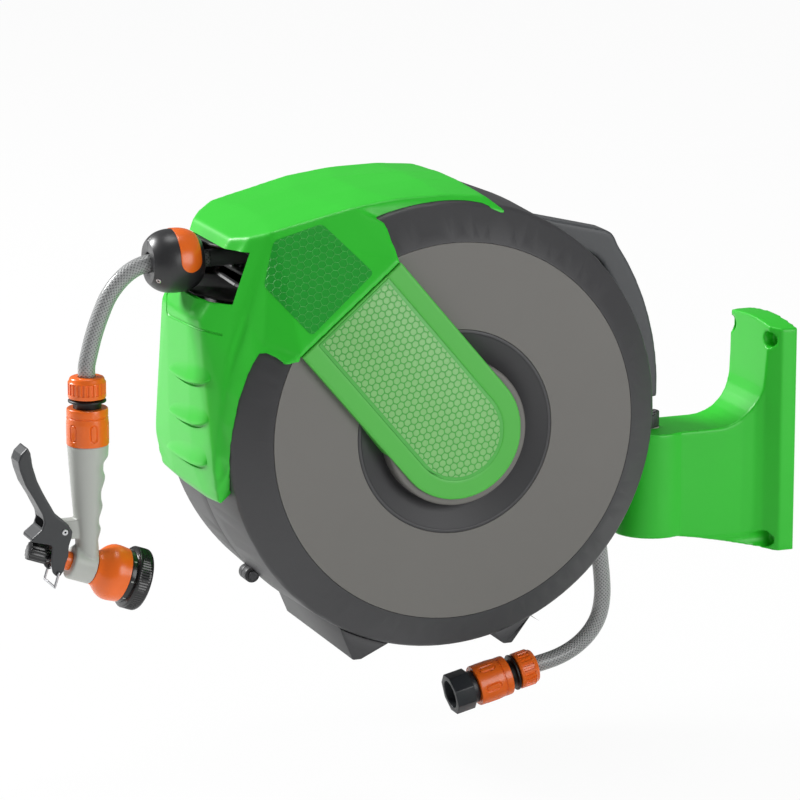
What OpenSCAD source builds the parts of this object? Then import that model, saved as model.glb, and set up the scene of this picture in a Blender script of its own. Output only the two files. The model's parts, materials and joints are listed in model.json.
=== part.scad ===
/* [Casing] */
// Radius of the casing at its seam
seam_r = 206; // [202:1:212]
// Radius of the casing where the side meets the rounded rim
rim_r = 203; // [199:1:206]
// Distance from the mid-plane to the flat face on either side
face_half = 115; // [112:1:120]
// Radius of the flat mid-grey panel on either face
panel_r = 170; // [160:1:176]
// Radius of the sunk hub area in either face
recess_r = 89; // [84:1:96]
// Depth of the sunk hub area below the face
recess_depth = 12; // [10:1:16]
// Wall of the moulded casing shells
shell_wall = 3; // [2.5:0.5:4]
// Thickness of the inlaid face panels
panel_t = 2; // [1:0.5:2.5]
// Radius of the ring round the end of each arm
hub_ring_r = 66; // [64:1:72]
// Half the length of the feet across the casing
foot_half = 86; // [60:1:95]

/* [Hood] */
// Wall of the green hood and arms
hood_wall = 3; // [2.5:0.5:4]
// Radius of the rounded hub end of each arm
arm_r = 60; // [56:1:62]
// Thickness of the arm above the casing face
arm_rise = 8; // [7:0.5:9]
// Direction of the arms above the horizontal
arm_angle = 130; // [124:1:136]
// Distance from the hub to the crease where the arm meets the hood
arm_reach = 156; // [150:1:160]
// Half the width of the hose window in the front of the hood
window_half = 68; // [60:1:70]
// Height of the hose window
window_h = 46; // [40:1:48]

/* [Drum and hose] */
// Outer diameter of the braided garden hose
hose_d = 15.6; // [14:0.2:16]
// Radius of the drum core that the hose winds on
core_r = 86; // [80:1:92]
// Room between the drum flanges and the rim of the casing
flange_room = 38; // [35:1:43]
// Room between each flange and the face of the casing
side_room = 39; // [37:1:45]
// Radius of the fixed axle
axle_r = 12; // [11:0.5:13]
// Radius of the ratchet wheel on the far flange
ratchet_r = 70; // [64:1:74]
// Teeth on the ratchet wheel
ratchet_teeth = 16; // [12:1:20]

/* [Hose guide] */
// Module of the gear teeth
gear_module = 2; // [1.8:0.1:2]
// Teeth on the drum gear
drum_teeth = 24; // [22:1:24]
// Teeth on the idler gear
idler_teeth = 72; // [70:1:72]
// Teeth on the screw gear
screw_teeth = 14; // [13:1:14]
// Radius of the traverse screw
screw_r = 6.5; // [5.5:0.5:7]
// Radius of the guide rod
rod_r = 4; // [3:0.5:4.5]
// Travel of the hose guide to either side
guide_travel = 50; // [40:1:52]

/* [Bracket] */
// Distance from the wall to the swivel pin
wall_to_pin = 125; // [122:1:130]
// Distance from the seam of the casing to the swivel pin
pin_room = 36; // [36:1:40]
// Height of the drum axis above the middle of the wall bolts
hub_height = 55; // [50:1:60]
// Radius of the bracket barrel round the swivel pin
barrel_r = 36; // [30:1:37]
// Half the width of the bracket at the wall
plate_half = 50; // [48:1:52]
// Half the width of the bracket arm
bracket_half = 32; // [28:1:34]
// Distance between the wall bolts across the bracket
bolt_dy = 76; // [72:1:80]
// Distance between the wall bolts up the bracket
bolt_dz = 190; // [184:1:192]
// Radius of the wall bolt holes
bolt_r = 3.5; // [3:0.5:4]
// Radius of the steel swivel pin
pin_r = 5; // [4:0.5:6]

/* [Couplings and gun] */
// Radius of the coupling sleeves
sleeve_r = 19; // [18:0.5:20]
// Length of the coupling sleeves
sleeve_len = 33; // [30:1:36]
// Travel of the coupling sleeves
sleeve_travel = 4; // [3:0.5:4]
// Radius of the coupling nuts
nut_r = 17; // [16:0.5:18]
// Radius of the thread in the tap adaptor
tap_thread_r = 13; // [12:0.5:13]
// Radius of the stop ball on the hose
ball_r = 28.5; // [26:0.5:30]
// Radius of the pattern dial of the spray gun
dial_r = 28.5; // [26:0.5:30]
// Radius of the gun barrel
gun_barrel_r = 15.5; // [14:0.5:16]

/* [Hidden] */
gap = 0.3;
fit = 0.05;
$fn = 96;
hose_r = hose_d / 2;
pin_to_hub = seam_r + pin_room;
wall_to_hub = wall_to_pin + pin_to_hub;
floor_half = face_half - recess_depth;
recess_foot = recess_r - 9;
arm_half = face_half + arm_rise;

// Rim: a rounded edge between the side and the sloping dark ring
rim_round = 10;
rim_half = 87;
rim_turn = 60;

// Drum, and the height of the hose line above the hub at the window
flange_r = rim_r - flange_room;
drum_half = face_half - side_room;
hose_line = flange_r - 16;

// Hose window in the hood: its foot and its front from the hub
window_z = hose_line - 29;
window_x = -rim_r - 57;

// Gear centres lie on one line from the hub
drum_pitch = gear_module * drum_teeth / 2;
idler_pitch = gear_module * idler_teeth / 2;
screw_pitch = gear_module * screw_teeth / 2;
mesh_slack = 0.15;
idler_at = drum_pitch + idler_pitch + mesh_slack;
screw_at = idler_at + idler_pitch + screw_pitch + mesh_slack;
screw_angle = 137;
rod_angle = 115;
gear_half = drum_half + 5;
gear_w = 6;
flange_t = 3;
layer_r = hose_line - 6;

// Swivel hinge heights below the hub
barrel_top = -42;
barrel_foot = -141;
lug_top = -27;

// Bracket side heights above the middle of the bolts
arm_top_z = hub_height + barrel_top;
plate_top = bolt_dz / 2 + 12;
plate_foot = -bolt_dz / 2 - 10;
plate_t = 27;

// Inlet gland on the lower rear wall
gland_angle = -31;
gland_out = seam_r + 16;
gland_x = gland_out * cos(gland_angle);
gland_drop = gland_out * sin(gland_angle) - 15.7;

// Couplings, measured from the hose end of the nut
nut_len = 19;
neck_len = 9;
adaptor_len = 25;
sleeve_at = nut_len + neck_len;

// Spray gun: the grip hangs straight down and the barrel slopes forward
gun_x = -rim_r - 100.5;
nut_top = hose_line - 98;
gun_z = nut_top - sleeve_at - sleeve_len;
barrel_x = gun_x + 2;
barrel_z = gun_z - 113;
barrel_tilt = 20;
pivot_x = gun_x - 26.5;
pivot_z = gun_z - 75;

// Route of the outlet hose through the ball to the gun, from the rim at the hose line
outlet_run = [
    [13, 0], [-3, 0], [-19, 0], [-35, 0], [-48, -2], [-60, -7.5], [-71, -17], [-80, -29],
    [-87, -44], [-93, -60], [-97.5, -76], [-100.5, -89], [-100.5, -98]];
outlet_route = [for (p = outlet_run) [p[0] - rim_r, 0, p[1] + hose_line]];

// Route of the inlet hose from the foot of the gland to its coupling
inlet_run = [
    [0, 0], [0, -17], [2, -35], [4, -53], [4.5, -71], [1, -89], [-8, -104], [-22, -116],
    [-40.3, -124.5], [-64.3, -130]];
inlet_route = [for (p = inlet_run) [p[0] + gland_x, 0, p[1] + gland_drop]];
inlet_end = inlet_route[len(inlet_route) - 1];
inlet_tilt = 13;

// A point by its distance and direction, and the points of an arc
function polar(r, a) = [r * cos(a), r * sin(a)];
function arc(c, r, a0, a1, n) =
    [for (i = [0:n]) let (a = a0 + (a1 - a0) * i / n) [c[0] + r * cos(a), c[1] + r * sin(a)]];

// Outer line of one casing half as radius and distance from the mid-plane, moved out by d
function casing_line(d) = concat(
    [[seam_r + d, 0], [rim_r + d, rim_half]],
    arc([rim_r - rim_round, rim_half], rim_round + d, 0, rim_turn, 5),
    [[panel_r + d / 2, face_half + d], [recess_r - d, face_half + d],
     [recess_foot - d, floor_half + d]]);

module at_hub() {
    translate([-wall_to_hub, 0, hub_height]) children();
}

// Turns a shape drawn in plan so that it stands with its axis along Y, near side first
module stand() {
    rotate([90, 0, 0]) children();
}

module far_side() {
    mirror([0, 1, 0]) children();
}

module revolve(points) {
    stand() rotate_extrude($fn = 144) polygon(points);
}

// A ring whose axis is the drum axis, between two distances from the mid-plane
module ring(r_in, r_out, h0, h1) {
    revolve([[r_in, h0], [r_out, h0], [r_out, h1], [r_in, h1]]);
}

// The whole solid space of the casing, grown by d
module casing_space(d) {
    revolve(concat(casing_line(d), [[0, floor_half + d], [0, 0]]));
    far_side() revolve(concat(casing_line(d), [[0, floor_half + d], [0, 0]]));
}

module sector(r0, r1, half, a0, a1) {
    rotate([0, -a0, 0]) stand()
        rotate_extrude(angle = a1 - a0, start = 0)
            translate([r0, -half]) square([r1 - r0, 2 * half]);
}

hand_a0 = 13;
hand_a1 = 37;
hand_half = 50;
hand_depth = 12;

boss_angles = [223, 318];
boss_at = seam_r + 4;
boss_r = 7;
boss_half = 9;
screw_hole_r = 2;

module at_bosses() {
    for (a = boss_angles)
        translate([boss_at * cos(a), 0, boss_at * sin(a)]) stand() children();
}

half_space = 3 * seam_r;

// One moulded half of the casing: side, rim, ring, face and hub plate in one wall
module shell_half() {
    w = shell_wall;
    difference() {
        union() {
            difference() {
                revolve(concat(
                    [[seam_r, 0], [rim_r, rim_half]],
                    arc([rim_r - rim_round, rim_half], rim_round, 0, rim_turn, 5),
                    [[panel_r + gap, face_half], [panel_r + gap, face_half - panel_t],
                     [recess_r + 3, face_half - panel_t], [recess_r + 3, face_half],
                     [recess_r, face_half], [recess_foot, floor_half],
                     [axle_r + fit, floor_half], [axle_r + fit, floor_half - 8],
                     [axle_r + 7, floor_half - 8], [axle_r + 7, floor_half - w],
                     [recess_foot - 2, floor_half - w], [recess_r, face_half - w - 1],
                     [panel_r - 1, face_half - panel_t - w]],
                    arc([rim_r - rim_round, rim_half], rim_round - w, rim_turn, 0, 5),
                    [[rim_r - w, rim_half], [seam_r - w, 0]]));
                sector(seam_r - 9 - hand_depth + w, seam_r + 5, hand_half, hand_a0, hand_a1);
            }
            intersection() {
                difference() {
                    sector(seam_r - 9 - hand_depth, seam_r - 1, hand_half + w,
                        hand_a0 - 1, hand_a1 + 1);
                    sector(seam_r - 9 - hand_depth + w, seam_r + 5, hand_half, hand_a0, hand_a1);
                }
                translate([0, -half_space / 2, -half_space / 2])
                    cube([half_space, half_space / 2, half_space]);
            }
            intersection() {
                difference() {
                    at_bosses() cylinder(r = boss_r, h = boss_half, $fn = 32);
                    ring(0, seam_r - 1, -1, boss_half + 1);
                }
                translate([-half_space / 2, -half_space / 2, -half_space / 2])
                    cube([half_space, half_space / 2, half_space]);
            }
        }
        at_bosses() translate([0, 0, -1])
            cylinder(r = screw_hole_r + fit, h = boss_half + 2, $fn = 24);
        translate([-seam_r - 5, -window_half + 6, window_z + 4])
            cube([140, 2 * window_half - 12, window_h - 8]);
        rotate([0, 90 - gland_angle, 0]) translate([0, 0, seam_r - 20])
            cylinder(r = 10 + fit, h = 30, $fn = 48);
    }
}

module at_gears(d, a) {
    translate([d * cos(a), 0, d * sin(a)]) stand() children();
}

// Post on the inner face of the shell with a blind hole for a shaft end or a stud
module shaft_post(d, a, r_hole, r_post, h0, depth) {
    difference() {
        intersection() {
            at_gears(d, a) translate([0, 0, h0]) cylinder(r = r_post, h = face_half - h0, $fn = 32);
            casing_space(-shell_wall + 0.5);
        }
        at_gears(d, a) translate([0, 0, h0 - 1]) cylinder(r = r_hole, h = depth + 1, $fn = 32);
    }
}

post_half = drum_half + 6;
post_deep = 7;
near_post = gear_half + gear_w + 0.5;
stud_deep = 12;

// Pivot of the pawl from the hub, on the far side
pawl_x = 60;
pawl_z = 62;
pawl_at = norm([pawl_x, pawl_z]);
pawl_dir = atan2(pawl_z, pawl_x);
pawl_half = drum_half + flange_t + 0.6;
pawl_t = 4;
wheel_t = pawl_t + 1;

module near_shell() color([0.33, 0.34, 0.34]) at_hub() {
    shell_half();
    shaft_post(screw_at, screw_angle, 4 + fit, 8, near_post, post_deep);
    shaft_post(screw_at, rod_angle, rod_r, 8, post_half, post_deep);
    shaft_post(idler_at, screw_angle, 5, 9, near_post + 1, stud_deep);
}

module far_shell() color([0.33, 0.34, 0.34]) at_hub() far_side() {
    shell_half();
    shaft_post(screw_at, screw_angle, 4 + fit, 8, post_half, post_deep);
    shaft_post(screw_at, rod_angle, rod_r, 8, post_half, post_deep);
    shaft_post(pawl_at, pawl_dir, 3, 6, pawl_half + pawl_t + 0.3, stud_deep);
}

module face_panel() {
    ring(recess_r + 3 + gap / 2, panel_r, face_half - panel_t, face_half);
}

module near_panel() color([0.47, 0.47, 0.44]) at_hub() face_panel();
module far_panel() color([0.47, 0.47, 0.44]) at_hub() far_side() face_panel();

// Ring that stands on the hub plate and carries the end of the arm
module hub_ring() {
    top = arm_half - hood_wall;
    revolve([[hub_ring_r - 9, floor_half], [hub_ring_r, floor_half],
        [hub_ring_r, top - 2], [hub_ring_r - 1.5, top], [hub_ring_r - 9, top]]);
}

module near_hub_ring() color([0.5, 0.5, 0.5]) at_hub() hub_ring();
module far_hub_ring() color([0.5, 0.5, 0.5]) at_hub() far_side() hub_ring();

// Bars along Y whose hull is the hood: [direction, out from the rim, in from the face]
bar_r = 8;
hood_bars = [
    [75.9, -14.3, 17], [79.3, -4.5, 25], [114.2, 11.8, 16], [131.8, 27.9, 35],
    [147.1, 6.7, 35], [160.3, 2, 33], [173.7, -2.8, 31], [187.9, 1.9, 31], [194.1, 2.2, 35],
    [93.7, 0.4, 70], [106.4, 9.6, 70], [117.2, 24.2, 80], [135.3, 55.8, 93],
    [150.4, 31.7, 93], [162.7, 28.5, 91], [174.4, 24.1, 89], [186.7, 19.5, 85]];

module hood_form(d) {
    hull() for (b = hood_bars)
        at_gears(rim_r + b[1], b[0])
            cylinder(r = bar_r - d, h = 2 * (face_half - b[2] - d), center = true, $fn = 24);
}

// Corners of the sloping side between the arm and the front edge: [place, half width]
slope_bar = 1;
function arm_point(along, across) =
    [along * cos(arm_angle) + across * sin(arm_angle),
     along * sin(arm_angle) - across * cos(arm_angle)];
crease_hi = arm_point(arm_reach + slope_bar, arm_r - slope_bar);
crease_lo = arm_point(arm_reach + slope_bar, -arm_r + slope_bar);
slope_points = [
    [crease_hi, arm_half], [crease_lo, arm_half], [polar(rim_r + 18, 114), face_half - 16],
    [polar(rim_r + 33.5, 131.9), face_half - 31], [polar(rim_r + 12, 147.4), face_half - 31]];
slope_mid = polar(rim_r - 8, arm_angle);

module slope_form(d) {
    hull() for (p = slope_points)
        let (v = p[0] - slope_mid, k = 1 - 1.6 * d / norm(v), q = slope_mid + v * k)
            translate([q[0], 0, q[1]]) stand()
                cylinder(r = slope_bar, h = p[1] - d, $fn = 16);
}

module arm_outline(inset, reach) {
    rotate(arm_angle) {
        circle(r = arm_r - inset);
        translate([0, -arm_r + inset]) square([reach, 2 * (arm_r - inset)]);
    }
}

module front_hood() color([0.1, 0.8, 0.2]) at_hub() {
    difference() {
        union() {
            difference() {
                hood_form(0);
                ring(0, rim_r + gap, -arm_half, arm_half);
            }
            slope_form(0);
            far_side() slope_form(0);
        }
        casing_space(gap);
        difference() {
            hood_form(hood_wall);
            ring(0, rim_r + 1, -arm_half, arm_half);
        }
        intersection() {
            union() {
                slope_form(hood_wall);
                far_side() slope_form(hood_wall);
            }
            ring(0, -window_x, -arm_half, arm_half);
        }
        translate([window_x, -window_half, window_z]) cube([120, 2 * window_half, window_h]);
    }
}

inlay_inset = 17;
inlay_t = 1.6;

module arm_body() {
    difference() {
        stand() translate([0, 0, rim_half]) linear_extrude(arm_half - rim_half)
            arm_outline(0, arm_reach - gap);
        casing_space(gap);
        ring(0, hub_ring_r + gap, 0, arm_half - hood_wall);
        stand() translate([0, 0, rim_half - 1]) linear_extrude(arm_half - hood_wall - rim_half + 1)
            arm_outline(hood_wall, arm_reach - hood_wall);
        stand() translate([0, 0, arm_half - inlay_t + 0.4]) linear_extrude(5)
            arm_outline(inlay_inset, arm_reach - 2);
    }
}

module near_arm() color([0.3, 0.72, 0.28]) at_hub() arm_body();
module far_arm() color([0.3, 0.72, 0.28]) at_hub() far_side() arm_body();

module inlay() {
    stand() translate([0, 0, arm_half - inlay_t + 0.4]) linear_extrude(inlay_t - 0.4 + 0.3)
        arm_outline(inlay_inset + gap, arm_reach - 2 - gap);
}

module near_inlay() color([0.45, 0.75, 0.4]) at_hub() inlay();
module far_inlay() color([0.45, 0.75, 0.4]) at_hub() far_side() inlay();

// Black duct from the window in the hood to the mouth of the casing
tunnel_wall = 2.5;
roller_r = 3;
roller_x = -rim_r + 38;
roller_dz = hose_r + roller_r + gap;
roller_half = window_half - tunnel_wall - 2;

module hose_tunnel() color([0.05, 0.05, 0.05]) at_hub() {
    difference() {
        intersection() {
            translate([window_x, -window_half + gap, window_z + gap])
                cube([160, 2 * (window_half - gap), window_h - 2 * gap]);
            hood_form(hood_wall + gap);
        }
        casing_space(gap);
        translate([window_x - 2, -window_half + tunnel_wall, window_z + tunnel_wall])
            cube([170, 2 * (window_half - tunnel_wall), window_h - 2 * tunnel_wall]);
        for (s = [-1, 1])
            translate([roller_x, 0, hose_line + s * roller_dz]) stand()
                cylinder(r = 2 + fit, h = 2 * window_half + 4, center = true, $fn = 24);
    }
}

module roller(s) {
    translate([roller_x, 0, hose_line + s * roller_dz]) stand() {
        cylinder(r = roller_r, h = 2 * roller_half, center = true, $fn = 32);
        cylinder(r = 2, h = 2 * window_half - 1.2, center = true, $fn = 24);
    }
}

module upper_roller() color([0.2, 0.2, 0.2]) at_hub() roller(1);
module lower_roller() color([0.2, 0.2, 0.2]) at_hub() roller(-1);

// Carrying handle on the back of the casing, drawn from the hub
handle_half = 15;
handle_r = seam_r + 36;

module carry_handle() color([0.36, 0.37, 0.38]) at_hub() {
    difference() {
        stand() translate([0, 0, -handle_half]) linear_extrude(2 * handle_half) difference() {
            polygon(concat(
                [polar(seam_r - 19, 53.3), polar(seam_r - 1.5, 54.8), polar(seam_r + 35, 38.4),
                 polar(seam_r + 37.5, 37), polar(seam_r + 37.5, 35.6)],
                arc([0, 0], handle_r, 34, -2.4, 8),
                [polar(seam_r - 10, -4.2), polar(seam_r - 12, 12)]));
            polygon(concat(
                [polar(seam_r - 1.5, 42.8), polar(seam_r + 10.5, 36.4),
                 polar(seam_r + 12.5, 35)],
                arc([0, 0], seam_r + 14, 33, 9, 6),
                [polar(seam_r + 12, 7.2), polar(seam_r + 1, 5), polar(seam_r - 6.5, 11.6),
                 polar(seam_r - 11.5, 34.5)]));
        }
        casing_space(gap);
    }
}

// Lug on the rear wall that carries the swivel pin above the bracket
lug_foot = barrel_top + gap;
lug_collar_r = pin_r + 3;

module hinge_lug() color([0.3, 0.31, 0.31]) at_hub() {
    difference() {
        union() {
            sector(seam_r + gap, seam_r + 3, 28, -19, -4.3);
            translate([seam_r, -10, lug_foot]) cube([pin_to_hub - seam_r, 20, 12]);
            translate([pin_to_hub, 0, lug_foot])
                cylinder(r = lug_collar_r, h = lug_top - lug_foot, $fn = 48);
        }
        casing_space(gap);
        translate([pin_to_hub, 0, lug_foot - 20]) cylinder(r = pin_r, h = 60, $fn = 48);
    }
}

module swivel_pin() color([0.6, 0.6, 0.62]) at_hub() {
    translate([pin_to_hub, 0, barrel_foot - 4]) difference() {
        cylinder(r = pin_r, h = lug_top - barrel_foot + 4, $fn = 48);
        translate([0, 0, -1]) cylinder(r = pin_r - 2, h = lug_top - barrel_foot + 6, $fn = 48);
    }
}

module pin_clip() color([0.25, 0.25, 0.25]) at_hub() {
    translate([pin_to_hub, 0, barrel_foot - gap - 1.5]) difference() {
        cylinder(r = pin_r + 4, h = 1.5, $fn = 48);
        translate([0, 0, -1]) cylinder(r = pin_r, h = 4, $fn = 48);
    }
}

bush_wall = 3;

module pivot_bush() color([0.8, 0.8, 0.75]) {
    translate([-wall_to_pin, 0, hub_height + barrel_foot]) difference() {
        cylinder(r = pin_r + bush_wall, h = barrel_top - barrel_foot, $fn = 48);
        translate([0, 0, -1])
            cylinder(r = pin_r + fit, h = barrel_top - barrel_foot + 2, $fn = 48);
    }
}

// Side view of the bracket: [x from the wall, z from the bolts]
barrel_back = -wall_to_pin - barrel_r - 1;
foot_z = hub_height + barrel_foot;
sweep_r = 45;

module bracket_side(d) {
    offset(delta = -d) polygon(concat(
        [[barrel_back, arm_top_z], [barrel_back, foot_z], [-wall_to_pin + pin_r + 7, foot_z],
         [-wall_to_pin + barrel_r, foot_z - 4], [-40, plate_foot + 4], [-20, plate_foot],
         [0, plate_foot], [0, plate_top + 8], [-plate_t + 3, plate_top + 8]],
        arc([-plate_t - sweep_r, arm_top_z + sweep_r], sweep_r, 0, -90, 8)));
}

// Plan of the bracket, narrow at the arm and flared to the wall
module bracket_plan(d) {
    offset(delta = -d) for (s = [-1, 1]) scale([1, s]) polygon([
        [-wall_to_pin - d, -d], [-wall_to_pin, bracket_half], [-46, bracket_half],
        [-34, bracket_half + 2], [-plate_t, plate_half - 12], [-21, plate_half - 6],
        [-15, plate_half], [0, plate_half], [0, -d]]);
}

module wall_bolts() {
    for (y = [-1, 1], z = [-1, 1])
        translate([0, y * bolt_dy / 2, z * bolt_dz / 2]) rotate([0, 90, 0]) children();
}

module wall_bracket() color([0.1, 0.8, 0.2]) {
    difference() {
        intersection() {
            rotate([90, 0, 0]) translate([0, 0, -80]) linear_extrude(160) bracket_side(0);
            union() {
                translate([0, 0, -200]) linear_extrude(400) bracket_plan(0);
                translate([-wall_to_pin, 0, foot_z]) cylinder(r = barrel_r, h = 200);
            }
            rotate([0, -90, 0]) translate([plate_top - 260, 0, -1])
                cylinder(r = 264, h = 200, $fn = 180);
        }
        intersection() {
            translate([6, 0, 0]) rotate([90, 0, 0]) translate([0, 0, -80])
                linear_extrude(160) bracket_side(5);
            translate([6, 0, -200]) linear_extrude(400) bracket_plan(5);
            difference() {
                translate([-80, -80, plate_foot + 5]) cube([90, 160, 2 * plate_top - 16]);
                wall_bolts() translate([0, 0, -90]) cylinder(r = 11, h = 100, $fn = 48);
                for (z = [-60, 0, 60])
                    translate([-100, -80, z - 1.5]) cube([120, 160, 3]);
            }
        }
        wall_bolts() translate([0, 0, -40]) cylinder(r = bolt_r, h = 50, $fn = 32);
        wall_bolts() translate([0, 0, -90]) cylinder(r = 7.5, h = 76, $fn = 48);
        translate([-wall_to_pin, 0, foot_z - 10])
            cylinder(r = pin_r + bush_wall + fit, h = 200, $fn = 48);
    }
}

module foot(points) {
    difference() {
        stand() translate([0, 0, -foot_half]) linear_extrude(2 * foot_half) polygon(points);
        casing_space(gap);
    }
}

stand_z = -seam_r - 3;
function on_floor(a) = [stand_z / tan(a), stand_z];

module feet() color([0.3, 0.31, 0.31]) at_hub() {
    foot([polar(seam_r - 9.5, 238.7), polar(seam_r + 4.6, 243.2), on_floor(247.6),
        on_floor(249.5), polar(seam_r - 3.7, 255.7), polar(seam_r - 14, 255.5)]);
    foot([polar(seam_r - 11, 283), polar(seam_r - 4, 282.6), on_floor(286), on_floor(288),
        polar(seam_r - 1.1, 294.8), polar(seam_r - 12.8, 295.8)]);
}

module shell_screws() color([0.7, 0.7, 0.7]) at_hub() {
    at_bosses() translate([0, 0, -boss_half + 1]) {
        cylinder(r = screw_hole_r, h = 2 * boss_half - 1, $fn = 24);
        translate([0, 0, 2 * boss_half - 1]) cylinder(r = 4, h = 2.4, $fn = 24);
    }
}

// Fixed hollow axle that the drum turns on, with a threaded end each side
stub_r = axle_r - 3;

module axle() color([0.75, 0.75, 0.77]) at_hub() {
    difference() {
        union() {
            ring(0, axle_r, -floor_half, floor_half);
            ring(0, stub_r, -floor_half - 12, floor_half + 12);
        }
        ring(0, 5, -pipe_half - 5, core_r / 2);
    }
}

module axle_nut() {
    difference() {
        stand() translate([0, 0, floor_half]) cylinder(r = 17, h = 9, $fn = 6);
        ring(0, stub_r + fit, floor_half - 1, floor_half + 14);
    }
}

module axle_nuts() color([0.7, 0.7, 0.7]) at_hub() {
    axle_nut();
    far_side() axle_nut();
}

// Hard pipe inside the casing from the gland to the far end of the axle
pipe_r = 5;
pipe_half = (drum_half + flange_t + 5 + floor_half - 8) / 2;
pipe_at = seam_r - 20;

module feed_pipe() color([0.2, 0.2, 0.22]) at_hub() rotate([0, -gland_angle, 0]) {
    difference() {
        union() {
            translate([pipe_at, 0, 0]) sphere(r = pipe_r, $fn = 32);
            translate([pipe_at, 0, 0]) rotate([-90, 0, 0]) cylinder(r = pipe_r, h = pipe_half);
            translate([pipe_at, pipe_half, 0]) sphere(r = pipe_r, $fn = 32);
            translate([axle_r - 2, pipe_half, 0]) rotate([0, 90, 0])
                cylinder(r = pipe_r, h = pipe_at - axle_r + 2);
            translate([pipe_at, 0, 0]) rotate([0, 90, 0])
                cylinder(r = pipe_r, h = seam_r - pipe_at - 9);
        }
        ring(0, axle_r + fit, -floor_half, floor_half);
    }
}

module inlet_gland() color([0.12, 0.13, 0.14]) at_hub() {
    gz = gland_out * sin(gland_angle);
    rotate([0, -gland_angle, 0]) rotate([0, 90, 0]) {
        translate([0, 0, seam_r - 9]) cylinder(r = 10, h = gland_out - seam_r + 9, $fn = 48);
        translate([0, 0, seam_r + 0.8]) cylinder(r = 15, h = 3.5, $fn = 48);
        translate([0, 0, seam_r - 9]) cylinder(r = 14, h = 5, $fn = 6);
    }
    translate([gland_x, 0, gz]) sphere(r = 10, $fn = 48);
    translate([gland_x, 0, gland_drop]) cylinder(r1 = hose_r + 1, r2 = 10, h = gz - gland_drop, $fn = 48);
}

// Drum core with a web and a sleeve at each end that run on the bushes
bush_r = axle_r + 4;
web_half = drum_half - 8;

module core_end() {
    revolve([[bush_r, web_half - 6], [bush_r + 4, web_half - 6], [bush_r + 4, web_half],
        [core_r - 4, web_half], [core_r - 4, 0], [core_r, 0], [core_r, drum_half],
        [core_r - 12, drum_half], [core_r - 12, web_half + 3], [bush_r + 4, web_half + 3],
        [bush_r + 4, drum_half + 4], [bush_r, drum_half + 4]]);
}

module drum_core() color([0.25, 0.26, 0.27]) at_hub() {
    core_end();
    far_side() core_end();
}

module near_flange() color([0.28, 0.29, 0.3]) at_hub() {
    difference() {
        ring(bush_r + 4 + gap, flange_r, drum_half, drum_half + flange_t);
        for (a = [0:60:300])
            rotate([0, a, 0]) translate([core_r + 42, 0, 0]) stand()
                translate([0, 0, drum_half - 1]) cylinder(r = 24, h = flange_t + 2, $fn = 48);
    }
}

module tooth_wheel(r, n, depth) {
    polygon([for (i = [0:n - 1]) for (k = [0, 1])
        let (a = 360 * (i + 0.96 * k) / n, q = k == 0 ? r - depth : r) [q * cos(a), q * sin(a)]]);
}

// Far flange of the drum, with the ratchet wheel that is pinned on it
module far_flange() color([0.28, 0.29, 0.3]) at_hub() far_side() {
    difference() {
        ring(bush_r + 4 + gap, flange_r, drum_half, drum_half + flange_t);
        for (a = [30:60:330])
            rotate([0, a, 0]) translate([core_r + 42, 0, 0]) stand()
                translate([0, 0, drum_half - 1]) cylinder(r = 24, h = flange_t + 2, $fn = 48);
    }
    difference() {
        stand() translate([0, 0, drum_half + flange_t + gap]) linear_extrude(wheel_t)
            tooth_wheel(ratchet_r, ratchet_teeth, 6);
        ring(0, ratchet_r - 12, 0, face_half);
    }
}

module drum_bushes() color([0.85, 0.85, 0.8]) at_hub() {
    ring(axle_r + fit, bush_r, web_half - 6, drum_half + 4);
    far_side() ring(axle_r + fit, bush_r, web_half - 6, drum_half + 4);
}

// A tube swept along points with n sides, each ring square to the run of the points
function unit(v) = v / norm(v);
function run(p, i) = unit(p[min(i + 1, len(p) - 1)] - p[max(i - 1, 0)]);
function tube_ring(c, t, r, n, side) =
    let (u = unit(side - t * (side * t)), v = cross(t, u))
        [for (k = [0:n - 1]) c + r * (u * cos(360 * k / n) + v * sin(360 * k / n))];
module tube(points, r, n, side) {
    m = len(points);
    verts = [for (i = [0:m - 1]) each tube_ring(points[i], run(points, i), r, n, side)];
    polyhedron(verts, concat(
        [[for (k = [0:n - 1]) k]],
        [for (i = [0:m - 2], k = [0:n - 1])
            [i * n + k, (i + 1) * n + k, (i + 1) * n + (k + 1) % n]],
        [for (i = [0:m - 2], k = [0:n - 1])
            [i * n + k, (i + 1) * n + (k + 1) % n, i * n + (k + 1) % n]],
        [[for (k = [n - 1:-1:0]) (m - 1) * n + k]]));
}

// Hose on the drum: plain inner layers and one wound outer layer that is one tube
layer_pitch = hose_d + 0.6;
layer_turns = floor((2 * drum_half - hose_d - 2 * gap) / layer_pitch);
layer_steps = 24;
layer_line = [for (i = [0:layer_turns * layer_steps])
    let (a = 360 * i / layer_steps,
        y = (i / layer_steps - layer_turns / 2) * layer_pitch)
        [layer_r * cos(a), y, layer_r * sin(a)]];

// Least distance between points a loop apart, less the diameter, printed
layer_gap = min([for (i = [0:len(layer_line) - 1 - layer_steps])
    norm(layer_line[i + layer_steps] - layer_line[i])]) - hose_d;
echo(winding_gap = layer_gap);

module wound_hose() color([0.6, 0.62, 0.62]) at_hub() {
    union() {
        ring(core_r + gap, layer_r - hose_r + 0.8, -drum_half + gap, drum_half - gap);
        tube(layer_line, hose_r, 6, [0, 1, 0]);
    }
}

arbor_r = axle_r + 6;
spring_half = web_half - 10;

module spring_arbor() color([0.5, 0.5, 0.5]) at_hub() {
    ring(axle_r + fit, arbor_r, -spring_half, spring_half);
}

// Spiral power spring between the arbor and the inside of the drum core
spring_turns = 9;
spring_steps = 16;
spring_t = 0.8;
spring_out = core_r - 4 - gap;

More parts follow.
